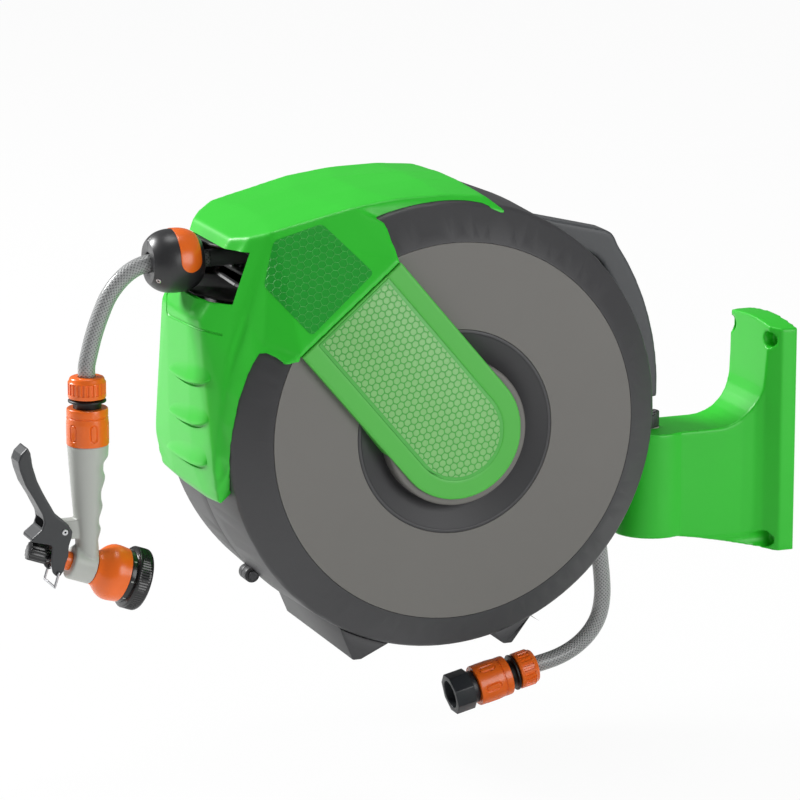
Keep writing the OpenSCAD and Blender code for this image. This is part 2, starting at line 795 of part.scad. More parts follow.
spring_n = spring_turns * spring_steps;
function spring_at(i, d) =
    let (r = arbor_r + gap + (spring_out - arbor_r - gap - spring_t) * i / spring_n + d,
        a = 360 * i / spring_steps) [r * cos(a), r * sin(a)];

module mainspring() color([0.45, 0.47, 0.5]) at_hub() {
    stand() translate([0, 0, -spring_half]) linear_extrude(2 * spring_half)
        polygon(concat([for (i = [0:spring_n]) spring_at(i, 0)],
            [for (i = [spring_n:-1:0]) spring_at(i, spring_t)]));
}

// Gear outline: each tooth has a root, two flank points and a crest on either side
function gear_points(n, m) =
    let (r = m * n / 2, top = r + 0.8 * m, mid = r, root = r - 1.15 * m, t = 360 / n)
        [for (i = [0:n - 1]) each
            [for (q = [[root, -0.31], [mid - 0.45 * m, -0.285], [mid, -0.225], [top, -0.11],
                    [top, 0.11], [mid, 0.225], [mid - 0.45 * m, 0.285], [root, 0.31]])
                let (a = (i + q[1]) * t) [q[0] * cos(a), q[0] * sin(a)]]];

module gear(n, bore, w, turn) {
    difference() {
        rotate(turn) linear_extrude(w) polygon(gear_points(n, gear_module));
        translate([0, 0, -1]) cylinder(r = bore, h = w + 2, $fn = 64);
    }
}

// Gears are turned so that a tooth of one faces a gap of the next on the line of centres
idler_turn = screw_angle + 180 + 180 / idler_teeth;
screw_turn = screw_angle + 180 + (idler_teeth % 2 == 0 ? 0 : 180 / screw_teeth);

module drum_gear() color([0.85, 0.85, 0.8]) at_hub() {
    stand() translate([0, 0, gear_half]) gear(drum_teeth, bush_r, gear_w, screw_angle);
    ring(bush_r, bush_r + 4, drum_half + 4, gear_half);
}

module idler_gear() color([0.85, 0.85, 0.8]) at_hub() {
    difference() {
        at_gears(idler_at, screw_angle) translate([0, 0, gear_half])
            gear(idler_teeth, 5 + fit, gear_w, idler_turn);
        for (a = [0:60:300])
            at_gears(idler_at, screw_angle) rotate(a)
                translate([idler_pitch * 0.6, 0, gear_half - 1])
                    cylinder(r = idler_pitch * 0.22, h = gear_w + 2, $fn = 48);
    }
}

module idler_stud() color([0.7, 0.7, 0.72]) at_hub() {
    at_gears(idler_at, screw_angle) {
        translate([0, 0, gear_half - 1.3]) cylinder(r = 8, h = 1, $fn = 32);
        translate([0, 0, gear_half - 1]) cylinder(r = 5, h = gear_w + 2 + stud_deep, $fn = 32);
    }
}

module traverse_screw() color([0.75, 0.75, 0.77]) at_hub() at_gears(screw_at, screw_angle) {
    groove = 14;
    difference() {
        translate([0, 0, -post_half + 1])
            cylinder(r = screw_r, h = 2 * post_half - 4, $fn = 48);
        for (z = [-guide_travel - 8:groove:guide_travel + 8])
            translate([0, 0, z]) rotate_extrude($fn = 48)
                translate([screw_r - 0.8, -1.5]) square([2, 3]);
    }
    translate([0, 0, -post_half - 6]) cylinder(r = 4, h = 8, $fn = 32);
    translate([0, 0, post_half - 4]) cylinder(r = 4, h = gear_half - post_half + 5, $fn = 32);
    translate([0, 0, gear_half]) rotate(screw_turn) linear_extrude(gear_w)
        polygon(gear_points(screw_teeth, gear_module));
    translate([0, 0, gear_half + gear_w - 0.5]) cylinder(r = 4, h = 6, $fn = 32);
}

module guide_rod() color([0.75, 0.75, 0.77]) at_hub() at_gears(screw_at, rod_angle) {
    translate([0, 0, -post_half - post_deep])
        cylinder(r = rod_r, h = 2 * (post_half + post_deep), $fn = 48);
}

// Carriage on the screw and the rod, with an eye for the hose
guide_w = 10;
eye_x = -rim_r + 100;
guide_chord = 2 * screw_at * sin((screw_angle - rod_angle) / 2);

module spot(d, a, r) {
    translate([d * cos(a), d * sin(a)]) circle(r = r, $fn = 48);
}

module hose_guide() color([0.9, 0.45, 0.1]) at_hub() {
    difference() {
        stand() translate([0, 0, -guide_w]) linear_extrude(2 * guide_w) difference() {
            union() {
                spot(screw_at, screw_angle, screw_r + 4);
                spot(screw_at, rod_angle, rod_r + 4);
                translate([eye_x, hose_line]) circle(r = hose_r + 5);
                translate([screw_at * cos(screw_angle), screw_at * sin(screw_angle)])
                    rotate((screw_angle + rod_angle) / 2 - 90)
                        translate([0, -5]) square([guide_chord, 10]);
            }
            spot(screw_at, screw_angle, screw_r + fit);
            spot(screw_at, rod_angle, rod_r + fit);
        }
        translate([0, 0, hose_line]) rotate([0, -90, 0]) cylinder(r = hose_r, h = 200);
    }
}

module hose_lead() color([0.6, 0.62, 0.62]) at_hub() {
    translate([-62, 0, hose_line]) rotate([0, -90, 0])
        cylinder(r = hose_r, h = -outlet_route[0][0] - 62 - gap, $fn = 48);
}

// Pawl on a stud of the far shell, dropping towards the ratchet wheel
module ratchet_pawl() color([0.8, 0.8, 0.2]) at_hub() far_side() {
    difference() {
        stand() translate([0, 0, pawl_half]) linear_extrude(pawl_t) {
            translate([pawl_x, pawl_z]) circle(r = 7, $fn = 32);
            polygon([[pawl_x - 6.8, pawl_z + 1.4], [50.2, 51], [56, 46],
                [pawl_x + 2, pawl_z - 6.7]]);
        }
        translate([pawl_x, 0, pawl_z]) stand() cylinder(r = 3 + fit, h = 120, $fn = 32);
    }
}

module pawl_stud() color([0.7, 0.7, 0.72]) at_hub() far_side() {
    translate([pawl_x, 0, pawl_z]) stand() translate([0, 0, pawl_half])
        cylinder(r = 3, h = pawl_t + stud_deep, $fn = 32);
}

// Stop ball in two dark caps with a band between them, round the hose
ball_x = -rim_r - 19;
ball_half = 23.5;
band_lo = -2;
band_hi = 19;
bore_flare = 10;
function ball_bore(s) = hose_r + fit + max(0, (-bore_flare - s) * 0.12);
function ball_radius(s) = ball_r * sqrt(max(0, 1 - pow(abs(s) / (ball_half + 6), 2.6)));

module ball_slice(s0, s1, d) {
    n = 10;
    translate([ball_x, 0, hose_line]) rotate([0, 90, 0]) rotate_extrude()
        polygon(concat([[ball_bore(s0), s0]],
            [for (i = [0:n]) let (s = s0 + (s1 - s0) * i / n) [ball_radius(s) + d, s]],
            [[ball_bore(s1), s1]], s0 < -bore_flare ? [[ball_bore(-bore_flare), -bore_flare]] : []));
}

module stop_ball() color([0.2, 0.2, 0.22]) at_hub() {
    ball_slice(-ball_half, band_lo, 0);
    ball_slice(band_hi, ball_half, 0);
}

module ball_band() color([0.95, 0.4, 0.15]) at_hub() ball_slice(band_lo, band_hi, 0.4);

module outlet_hose() color([0.6, 0.62, 0.62]) at_hub() tube(outlet_route, hose_r, 12, [0, 1, 0]);
module inlet_hose() color([0.6, 0.62, 0.62]) at_hub() tube(inlet_route, hose_r, 12, [0, 1, 0]);

module at_outlet() {
    at_hub() translate([gun_x, 0, nut_top]) rotate([180, 0, 0]) children();
}

module at_inlet() {
    at_hub() translate(inlet_end) rotate([0, -90 - inlet_tilt, 0]) children();
}

// Ribbed nut that clamps the hose on the coupling
nut_ribs = 20;

module coupling_nut() {
    difference() {
        linear_extrude(nut_len) polygon([for (i = [0:nut_ribs - 1], q = [[0, 0.8], [0.3, 0],
            [0.7, 0], [1, 0.8]]) let (a = 360 * (i + q[0] * 0.96) / nut_ribs)
            [(nut_r - q[1]) * cos(a), (nut_r - q[1]) * sin(a)]]);
        translate([0, 0, -1]) cylinder(r = hose_r + 0.4, h = nut_len + 2);
        translate([0, 0, 4]) cylinder(r = 13, h = nut_len);
        translate([0, 0, -0.01]) rotate_extrude()
            polygon([[nut_r - 2, 0], [nut_r + 2, 0], [nut_r + 2, 4]]);
    }
}

// Dark body of the coupling with its hose tail, flange and inner socket
socket_r = 12.6;

module coupling_core() {
    flange_at = sleeve_at - sleeve_travel - 1.5;
    difference() {
        rotate_extrude() polygon([[0, 0], [hose_r, 0], [hose_r, 4.3], [12.7, 4.3], [12.7, 20],
            [nut_r - 1.5, 20], [nut_r, 21], [nut_r, flange_at], [socket_r, flange_at],
            [socket_r, sleeve_at + sleeve_len - 4], [0, sleeve_at + sleeve_len - 4]]);
        translate([0, 0, -1]) cylinder(r = 4, h = 100, $fn = 32);
        translate([0, 0, sleeve_at - 2]) cylinder(r = 9.5 + fit, h = 60);
    }
}

// Sliding collar with a row of oval windows
module coupling_sleeve() {
    difference() {
        translate([0, 0, sleeve_at]) rotate_extrude() polygon([[socket_r + fit, 0],
            [sleeve_r - 1, 0], [sleeve_r - 0.3, 1.5], [sleeve_r, sleeve_len - 2],
            [sleeve_r - 1, sleeve_len], [socket_r + fit, sleeve_len]]);
        for (a = [0:60:300])
            rotate([0, 0, a + 20]) translate([sleeve_r - 2.2, 0, sleeve_at + 10])
                rotate([0, 90, 0]) {
                    cylinder(r = 3, h = 6, $fn = 24);
                    translate([-9, 0, 0]) cylinder(r = 3, h = 6, $fn = 24);
                    translate([-9, -3, 0]) cube([9, 6, 6]);
                }
    }
}

module outlet_nut() color([0.93, 0.42, 0.13]) at_outlet() coupling_nut();
module outlet_core() color([0.1, 0.1, 0.11]) at_outlet() coupling_core();
module outlet_sleeve() color([0.93, 0.42, 0.13]) at_outlet() coupling_sleeve();
module inlet_nut() color([0.93, 0.42, 0.13]) at_inlet() coupling_nut();
module inlet_core() color([0.1, 0.1, 0.11]) at_inlet() coupling_core();
module inlet_sleeve() color([0.93, 0.42, 0.13]) at_inlet() coupling_sleeve();

// Tap adaptor: a nipple inside the coupling and an eight-sided nut with the tap thread
module tap_adaptor() color([0.18, 0.2, 0.22]) at_inlet() {
    end = sleeve_at + sleeve_len;
    difference() {
        union() {
            translate([0, 0, sleeve_at]) cylinder(r = 9.5, h = sleeve_len + 2);
            translate([0, 0, end + gap]) cylinder(r = 15, h = 7);
            translate([0, 0, end + 6]) rotate(22.5) cylinder(r = 19.5, h = adaptor_len - 6, $fn = 8);
        }
        translate([0, 0, -1]) cylinder(r = 5, h = 200, $fn = 32);
        translate([0, 0, end + adaptor_len - 15]) cylinder(r = tap_thread_r, h = 16, $fn = 64);
    }
}

// Places along the gun barrel: local Z runs forward from the grip line
module at_barrel() {
    at_hub() translate([barrel_x, 0, barrel_z]) rotate([0, 90 + barrel_tilt, 0]) children();
}

module gun_slice(x, z, rx, ry) {
    translate([x, 0, z]) scale([rx, ry, 1]) cylinder(r = 1, h = 1, $fn = 32);
}

module gun_body() color([0.73, 0.74, 0.71]) {
    slices = [[gun_x, gun_z - 1, 18.5, 18.5], [gun_x - 1.5, gun_z - 35, 16, 16.5],
        [gun_x - 4, gun_z - 68, 13, 14.5], [gun_x - 6.5, gun_z - 102, 10.6, 13]];
    difference() {
        union() {
            at_hub() translate([gun_x, 0, gun_z - 3]) cylinder(r = 9.5, h = sleeve_len + 4);
            at_hub() for (i = [0:2]) hull() {
                gun_slice(slices[i][0], slices[i][1] - 1, slices[i][2], slices[i][3]);
                gun_slice(slices[i + 1][0], slices[i + 1][1] - 1, slices[i + 1][2],
                    slices[i + 1][3]);
            }
            at_hub() for (i = [0:3])
                translate([gun_x + 9.5 - 2.2 * i, 0, gun_z - 22 - 21 * i]) stand()
                    cylinder(r = 7, h = 16, center = true, $fn = 32);
            at_barrel() translate([0, 0, -22]) cylinder(r = gun_barrel_r, h = 22);
            at_barrel() translate([0, 0, -36]) cylinder(r = 8.5, h = 15);
            at_barrel() translate([0, 0, -3]) cylinder(r = 8 - fit, h = 38, $fn = 48);
            at_hub() translate([pivot_x - 4, -7, pivot_z - 9]) cube([20, 14, 17]);
        }
        at_barrel() translate([0, 0, -40]) cylinder(r = 3 + fit, h = 34, $fn = 32);
        at_barrel() translate([0, 0, -16]) cylinder(r = 8, h = 12, $fn = 48);
        at_barrel() translate([0, 0, -5]) cylinder(r = 4, h = 50, $fn = 32);
        at_hub() translate([gun_x, 0, gun_z - 60]) cylinder(r = 4, h = 120, $fn = 32);
        at_hub() translate([pivot_x, 0, pivot_z]) stand()
            cylinder(r = 2 + fit, h = 40, center = true, $fn = 24);
    }
}

ring_x = pivot_x - 7;
ring_z = pivot_z - 36.5;
ring_wire = 1.2;
trigger_line = [[-32, 79], [-38.5, 73], [-41, 66], [-39.5, 58], [-35, 45], [-27, 31], [-20, 17],
    [-19, 10], [-21, 4], [-30, -3], [-31, -6], [-12, -11], [-13.5, -26], [-12, -36],
    [-9, -39.5], [-5, -39.5], [-1.5, -35], [0, -29], [3, -22], [3.4, -13], [6, -6], [7, 0],
    [3, 7], [-9, 18], [-19, 37], [-24, 48], [-28, 62], [-29.5, 74]];
lever_half = 11;
cheek_in = 11.2;
cheek_out = 14;

module gun_trigger() color([0.22, 0.23, 0.24]) at_hub() translate([pivot_x, 0, pivot_z]) {
    difference() {
        intersection() {
            stand() translate([0, 0, -cheek_out]) linear_extrude(2 * cheek_out)
                polygon(trigger_line);
            hull() {
                translate([-60, -lever_half, 15]) cube([120, 2 * lever_half, 80]);
                translate([-60, -cheek_out, -50]) cube([120, 2 * cheek_out, 60]);
            }
        }
        translate([-20, -cheek_in, -50]) cube([60, 2 * cheek_in, 62]);
        stand() cylinder(r = 2 + fit, h = 60, center = true, $fn = 24);
        translate([ring_x - pivot_x, 0, ring_z - pivot_z]) stand()
            cylinder(r = ring_wire + fit, h = 60, center = true, $fn = 24);
    }
}

module trigger_pin() color([0.75, 0.75, 0.75]) at_hub() {
    translate([pivot_x, 0, pivot_z]) stand() {
        cylinder(r = 2, h = 2 * cheek_out + 1, center = true, $fn = 24);
        translate([0, 0, cheek_out + 0.2]) cylinder(r = 3, h = 1, $fn = 24);
    }
}

module valve_stem() color([0.7, 0.7, 0.7]) at_barrel() {
    translate([0, 0, -58]) cylinder(r = 3, h = 52, $fn = 32);
    translate([0, 0, -6.5]) cylinder(r = 7, h = 2, $fn = 32);
}

module flow_knob() color([0.08, 0.08, 0.08]) at_barrel() {
    difference() {
        union() {
            translate([0, 0, -62]) linear_extrude(17) polygon([for (i = [0:11], q = [[0, 0.8],
                [0.35, 0], [0.65, 0], [1, 0.8]]) let (a = 360 * (i + q[0] * 0.9) / 12)
                [(8.6 - q[1]) * cos(a), (8.6 - q[1]) * sin(a)]]);
            translate([0, 0, -45.5]) cylinder(r = 6, h = 4, $fn = 32);
        }
        translate([0, 0, -58.5]) cylinder(r = 3 + fit, h = 30, $fn = 32);
    }
}

// Wire loop on the trigger that holds it pulled
ring_len = 13;
ring_lean = 18;

module hold_ring() color([0.7, 0.7, 0.72]) at_hub() translate([ring_x, 0, ring_z]) {
    h = cheek_out + gap + ring_wire;
    stand() cylinder(r = ring_wire, h = 2 * h, center = true, $fn = 16);
    rotate([0, 180 + ring_lean, 0]) {
        translate([0, 0, ring_len]) stand()
            cylinder(r = ring_wire, h = 2 * h, center = true, $fn = 16);
        for (s = [-1, 1]) translate([0, s * h, 0]) {
            cylinder(r = ring_wire, h = ring_len, $fn = 16);
            sphere(r = ring_wire, $fn = 16);
            translate([0, 0, ring_len]) sphere(r = ring_wire, $fn = 16);
        }
    }
}

// Orange flare and black ring of the pattern dial, turning together on the barrel
module pattern_dial() color([0.93, 0.42, 0.13]) at_barrel() {
    difference() {
        rotate_extrude() polygon(concat([[0, gap], [gun_barrel_r, gap]],
            [[17, 3], [21, 8], [25, 14], [26.8, 20], [26.5, 26], [24.5, 30], [dial_r - 3, 31],
             [dial_r - 1.5, 37], [dial_r, 38], [dial_r, 47], [dial_r - 2, 49], [dial_r - 5, 49],
             [dial_r - 5, 46], [0, 46]]));
        translate([0, 0, -1]) cylinder(r = 8, h = 38, $fn = 48);
    }
}

wall_bracket();
pivot_bush();
near_shell();
far_shell();
near_panel();
far_panel();
near_hub_ring();
far_hub_ring();
front_hood();
near_arm();
far_arm();
near_inlay();
far_inlay();
hose_tunnel();
upper_roller();
lower_roller();
carry_handle();
hinge_lug();
swivel_pin();
pin_clip();
feet();
shell_screws();
axle();
axle_nuts();
feed_pipe();
inlet_gland();
drum_core();
near_flange();
far_flange();
drum_bushes();
wound_hose();
spring_arbor();
mainspring();
drum_gear();
idler_gear();
idler_stud();
traverse_screw();
guide_rod();
hose_guide();
hose_lead();
ratchet_pawl();
pawl_stud();
outlet_hose();
stop_ball();
ball_band();
outlet_nut();
outlet_core();
outlet_sleeve();
inlet_hose();
inlet_nut();
inlet_core();
inlet_sleeve();
tap_adaptor();
gun_body();
gun_trigger();
trigger_pin();
valve_stem();
flow_knob();
hold_ring();
pattern_dial();
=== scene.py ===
import json
import math

import bpy
from mathutils import Matrix, Vector


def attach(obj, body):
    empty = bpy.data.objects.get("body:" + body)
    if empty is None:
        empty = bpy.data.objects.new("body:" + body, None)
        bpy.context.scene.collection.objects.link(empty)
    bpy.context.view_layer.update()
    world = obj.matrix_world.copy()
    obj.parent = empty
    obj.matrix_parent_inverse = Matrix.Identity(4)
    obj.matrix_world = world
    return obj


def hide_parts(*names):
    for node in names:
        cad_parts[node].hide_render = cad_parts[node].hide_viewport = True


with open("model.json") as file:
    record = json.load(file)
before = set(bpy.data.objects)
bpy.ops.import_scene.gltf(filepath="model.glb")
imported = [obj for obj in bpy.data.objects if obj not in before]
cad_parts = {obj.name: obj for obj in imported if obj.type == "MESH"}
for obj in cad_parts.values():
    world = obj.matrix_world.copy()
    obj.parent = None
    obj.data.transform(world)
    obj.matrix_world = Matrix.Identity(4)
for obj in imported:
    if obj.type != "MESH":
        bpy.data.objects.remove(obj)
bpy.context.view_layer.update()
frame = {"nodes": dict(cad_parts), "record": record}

# The view: a long lens from the front left, a little above the reel, as a catalogue
# picture is taken. The reel's hub lies 367 mm in front of the wall and 55 mm above the
# middle of the wall bolts, and every place below is measured from that hub in mm.
HUB = Vector((-0.367, 0.0, 0.055))


def at(x, y, z):
    return HUB + Vector((x, y, z)) / 1000


lens = bpy.data.cameras.new("view")
lens.sensor_width = 36.0
lens.lens = 203.76
camera = bpy.data.objects.new("view", lens)
bpy.context.scene.collection.objects.link(camera)
turn, tilt = math.radians(-21.38), math.radians(13.20)
back = Vector((math.sin(turn) * math.cos(tilt), -math.cos(turn) * math.cos(tilt), math.sin(tilt)))
camera.location = at(-1462.7, -3717.2, 940.6)
camera.rotation_mode = "QUATERNION"
camera.rotation_quaternion = (-back).to_track_quat("-Z", "Y")
lens.clip_start, lens.clip_end = 0.1, 60
bpy.context.scene.camera = camera


# The two hoses: soft clear tube over a woven braid, 15.6 mm thick. One runs from the
# window through the stop ball down to the spray gun, the other from the gland at the
# back to its snap coupling. Each is a swept tube with its weave laid on the tube's own map.
RIM, FACE, HOSE_LINE = 203, 115, 149
HOSE_R, HOSE_ROUND = 7.8, 49
OUTLET_RUN = [
    (13, 0), (-3, 0), (-19, 0), (-35, 0), (-48, -2), (-60, -7.5), (-71, -17), (-80, -29),
    (-87, -44), (-93, -60), (-97.5, -76), (-100.5, -89), (-100.5, -98),
]
INLET_RUN = [
    (0, 0), (0, -17), (2, -35), (4, -53), (4.5, -71), (1, -89), (-8, -104), (-22, -116),
    (-40.3, -124.5), (-64.3, -130),
]
OUTLET = [(x - RIM, z + HOSE_LINE) for x, z in OUTLET_RUN]
GLAND_X, GLAND_Z = 190.29, -130.04
INLET = [(x + GLAND_X, z + GLAND_Z) for x, z in INLET_RUN]


def smooth_line(points, step):
    """A smooth curve through the points, cut into equal steps."""
    p = [Vector((x, 0, z)) for x, z in points]
    p = [2 * p[0] - p[1]] + p + [2 * p[-1] - p[-2]]
    fine = []
    for i in range(1, len(p) - 2):
        a, b, c, d = p[i - 1 : i + 3]
        for k in range(12):
            t = k / 12
            fine.append(
                0.5 * (2 * b + (c - a) * t + (2 * a - 5 * b + 4 * c - d) * t * t
                       + (3 * b - a - 3 * c + d) * t ** 3)
            )
    fine.append(p[-2])
    run = [0.0]
    for a, b in zip(fine, fine[1:]):
        run.append(run[-1] + (b - a).length)
    n = max(2, round(run[-1] / step))
    out, j = [], 0
    for k in range(n + 1):
        s = run[-1] * k / n
        while j < len(run) - 2 and run[j + 1] < s:
            j += 1
        f = (s - run[j]) / max(run[j + 1] - run[j], 1e-9)
        out.append(fine[j].lerp(fine[j + 1], min(f, 1)))
    return out, run[-1]


def take(o):
    """Works on one object alone."""
    bpy.ops.object.select_all(action="DESELECT")
    o.select_set(True)
    bpy.context.view_layer.objects.active = o


def new_object(name, mesh):
    o = bpy.data.objects.new(name, mesh)
    bpy.context.scene.collection.objects.link(o)
    take(o)
    return o


def meshed(name, verts, faces=(), edges=()):
    mesh = bpy.data.meshes.new(name)
    mesh.from_pydata(verts, edges, faces)
    return new_object(name, mesh)


def ring_faces(rings, sides):
    """The faces between rings of points, and one that closes each end."""
    faces = []
    for i in range(rings - 1):
        for k in range(sides):
            a, b = i * sides + k, i * sides + (k + 1) % sides
            faces.append((a, b, b + sides, a + sides))
    last = (rings - 1) * sides
    return faces + [tuple(reversed(range(sides))), tuple(range(last, last + sides))]


def hose(name, points, sides=32):
    """A tube along the points, its map as wide as it is round, so that the weave lies true."""
    line, length = smooth_line(points, 2.6)
    verts = []
    for i, c in enumerate(line):
        t = (line[min(i + 1, len(line) - 1)] - line[max(i - 1, 0)]).normalized()
        u = Vector((0, 1, 0))
        v = t.cross(u)
        for k in range(sides):
            a = 2 * math.pi * k / sides
            verts.append(at(*(c + HOSE_R * (u * math.cos(a) + v * math.sin(a)))))
    tube = meshed(name, verts, ring_faces(len(line), sides))
    weave = tube.data.uv_layers.new(name="weave")
    step = length / (len(line) - 1)
    for f in tube.data.polygons:
        f.use_smooth = f.index < (len(line) - 1) * sides
        if f.use_smooth:
            i, k = divmod(f.index, sides)
            for c, loop in enumerate(f.loop_indices):
                along = (i + (c > 1)) * step / HOSE_ROUND
                weave.data[loop].uv = ((k + (c in (1, 2))) / sides, along)
    return tube, [tuple(at(*c)) for c in line], length / 1000


def group(name, inputs, outputs):
    g = bpy.data.node_groups.new(name, "ShaderNodeTree")
    for kind, label, value in inputs:
        s = g.interface.new_socket(label, in_out="INPUT", socket_type="NodeSocket" + kind)
        if value is not None:
            s.default_value = value
    for kind, label in outputs:
        g.interface.new_socket(label, in_out="OUTPUT", socket_type="NodeSocket" + kind)
    return g, g.nodes.new("NodeGroupInput"), g.nodes.new("NodeGroupOutput")


def node(tree, kind, **values):
    n = tree.nodes.new("ShaderNode" + kind)
    for key, value in values.items():
        if key in ("operation", "data_type", "uv_map", "interpolation_type"):
            setattr(n, key, value)
        else:
            n.inputs[key.replace("_", " ")].default_value = value
    return n


def maths(tree, op, a, b=None, c=None):
    n = tree.nodes.new("ShaderNodeMath")
    n.operation = op
    for i, v in enumerate((a, b, c)):
        if v is None:
            continue
        if isinstance(v, (int, float)):
            n.inputs[i].default_value = v
        else:
            tree.links.new(v, n.inputs[i])
    return n.outputs[0]


def zigzag(tree, value):
    """How far a value is from the middle between two whole numbers."""
    return maths(tree, "ABSOLUTE", maths(tree, "SUBTRACT", maths(tree, "FRACT", value), 0.5))


def make_braid():
    strands, ahead = 14.0, 50.0
    g, i, o = group("braid", [("Vector", "Map", None)], [("Float", "Thread"), ("Float", "Height")])
    cut = node(g, "SeparateXYZ")
    g.links.new(i.outputs[0], cut.inputs[0])
    u, v = cut.outputs[0], cut.outputs[1]
    pair = []
    for sign in (1, -1):
        d = maths(g, "MULTIPLY_ADD", v, sign * strands, maths(g, "MULTIPLY", u, strands))
        d = maths(g, "ADD", d, ahead)
        fine = zigzag(g, maths(g, "MULTIPLY", d, 3.0))
        edge = maths(g, "SMOOTH_MIN", maths(g, "MULTIPLY", zigzag(g, d), 2.4), 1.0, 0.1)
        band = maths(g, "SUBTRACT", 1.0, edge)
        pair.append(maths(g, "MULTIPLY", band, maths(g, "MULTIPLY_ADD", fine, 1.2, 0.4)))
    thread = maths(g, "MINIMUM", maths(g, "MAXIMUM", pair[0], pair[1]), 1.0)
    g.links.new(thread, o.inputs[0])
    g.links.new(maths(g, "ADD", pair[0], maths(g, "MULTIPLY", pair[1], 0.7)), o.inputs[1])
    return g


braid = make_braid()


def material(name, **sockets):
    m = bpy.data.materials.new(name)
    m.use_nodes = True
    m.node_tree.nodes.clear()
    shader = node(m.node_tree, "BsdfPrincipled", **sockets)
    out = m.node_tree.nodes.new("ShaderNodeOutputMaterial")
    m.node_tree.links.new(shader.outputs[0], out.inputs[0])
    return m, m.node_tree, shader


def place(tree, g, **values):
    n = tree.nodes.new("ShaderNodeGroup")
    n.node_tree = g
    for key, value in values.items():
        n.inputs[key].default_value = value
    return n


def hose_material():
    m, t, s = material("braided hose", Coat_Weight=0.6, Coat_Roughness=0.12, IOR=1.45)
    uv = node(t, "UVMap", uv_map="weave")
    b = place(t, braid)
    t.links.new(uv.outputs[0], b.inputs[0])
    mix = node(t, "Mix", data_type="RGBA")
    mix.inputs[6].default_value = (0.12, 0.125, 0.125, 1)
    mix.inputs[7].default_value = (0.56, 0.57, 0.57, 1)
    t.links.new(b.outputs["Thread"], mix.inputs[0])
    t.links.new(mix.outputs[2], s.inputs["Base Color"])
    rough = node(t, "MapRange")
    rough.inputs[3].default_value, rough.inputs[4].default_value = 0.35, 0.55
    t.links.new(b.outputs["Thread"], rough.inputs[0])
    t.links.new(rough.outputs[0], s.inputs["Roughness"])
    bump = node(t, "Bump", Strength=0.6, Distance=0.0006)
    t.links.new(b.outputs["Height"], bump.inputs["Height"])
    t.links.new(bump.outputs[0], s.inputs["Normal"])
    return m


braided = hose_material()
outlet, outlet_path, outlet_length = hose("outlet_braid", OUTLET)
inlet, inlet_path, inlet_length = hose("inlet_braid", INLET)
for piece, cad_hose in ((outlet, "outlet_hose"), (inlet, "inlet_hose")):
    piece.data.materials.append(braided)
    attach(piece, "casing")
    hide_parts(cad_hose)


# The wall bracket: one bright green moulding with soft edges all round, hollow and ribbed
# at the back, with a fine spark-eroded grain. Four screws hold it to the wall, and the
# casing swings on a steel pin in its barrel.
def make_grain():
    g, i, o = group(
        "moulded grain",
        [("Color", "Colour", (0.5, 0.5, 0.5, 1)), ("Float", "Fineness", 1400.0),
         ("Float", "Depth", 0.00004), ("Float", "Roughness", 0.5), ("Float", "Mottle", 0.06)],
        [("Color", "Colour"), ("Float", "Roughness"), ("Vector", "Normal")],
    )
    where = node(g, "TexCoord")
    fine = node(g, "TexNoise", Detail=3.0, Roughness=0.6)
    g.links.new(where.outputs["Object"], fine.inputs["Vector"])
    g.links.new(i.outputs["Fineness"], fine.inputs["Scale"])
    broad = node(g, "TexNoise", Scale=9.0, Detail=4.0, Roughness=0.55)
    g.links.new(where.outputs["Object"], broad.inputs["Vector"])
    bump = node(g, "Bump", Strength=0.5)
    g.links.new(i.outputs["Depth"], bump.inputs["Distance"])
    g.links.new(fine.outputs[0], bump.inputs["Height"])
    g.links.new(bump.outputs[0], o.inputs["Normal"])
    swing = maths(g, "MULTIPLY", maths(g, "SUBTRACT", broad.outputs[0], 0.5), i.outputs["Mottle"])
    shade = maths(g, "ADD", 1.0, maths(g, "MULTIPLY", swing, 2.0))
    tint = node(g, "VectorMath", operation="SCALE")
    g.links.new(i.outputs["Colour"], tint.inputs[0])
    g.links.new(shade, tint.inputs["Scale"])
    g.links.new(tint.outputs[0], o.inputs["Colour"])
    speckle = maths(g, "MULTIPLY", maths(g, "SUBTRACT", fine.outputs[0], 0.5), 0.08)
    rough = maths(g, "ADD", i.outputs["Roughness"], maths(g, "ADD", swing, speckle))
    g.links.new(rough, o.inputs["Roughness"])
    return g


grain = make_grain()


def plastic(name, colour, rough=0.5, fine=1400.0, depth=0.00004, mottle=0.06, **sockets):
    m, t, s = material(name, **sockets)
    n = place(t, grain, Colour=(*colour, 1), Fineness=fine, Depth=depth, Roughness=rough, Mottle=mottle)
    t.links.new(n.outputs["Colour"], s.inputs["Base Color"])
    t.links.new(n.outputs["Roughness"], s.inputs["Roughness"])
    t.links.new(n.outputs["Normal"], s.inputs["Normal"])
    return m


SAME_POINT = 0.000002
BODY_OF = {n: b for b, nodes in frame["record"]["behaviour"]["bodies"].items() for n in nodes}
SLOT_OF = {s["node"]: s["material_slot"] for s in frame["record"]["subparts"]}


def edited(o, operation, **values):
    """Runs one mesh operation on the whole of an object."""
    take(o)
    bpy.ops.object.mode_set(mode="EDIT")
    bpy.ops.mesh.select_all(action="SELECT")
    operation(**values)
    bpy.ops.object.mode_set(mode="OBJECT")
    return o


def outward(o):
    return edited(o, bpy.ops.mesh.normals_make_consistent, inside=False)


def apply(o, kind, **values):
    take(o)
    m = o.modifiers.new(kind.title(), kind)
    for key, value in values.items():
        setattr(m, key, value)
    bpy.ops.object.modifier_apply(modifier=m.name)


def finish(o, m, body, slot, *cad_nodes, angle=35):
    """Smooth shading, its plastic, and the body that it rides on."""
    take(o)
    bpy.ops.object.transform_apply(location=True, rotation=True, scale=True)
    bpy.ops.object.shade_smooth_by_angle(angle=math.radians(angle))
    o.data.materials.clear()
    o.data.materials.append(m)
    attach(o, body)
    if cad_nodes:
        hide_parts(*cad_nodes)
    return o


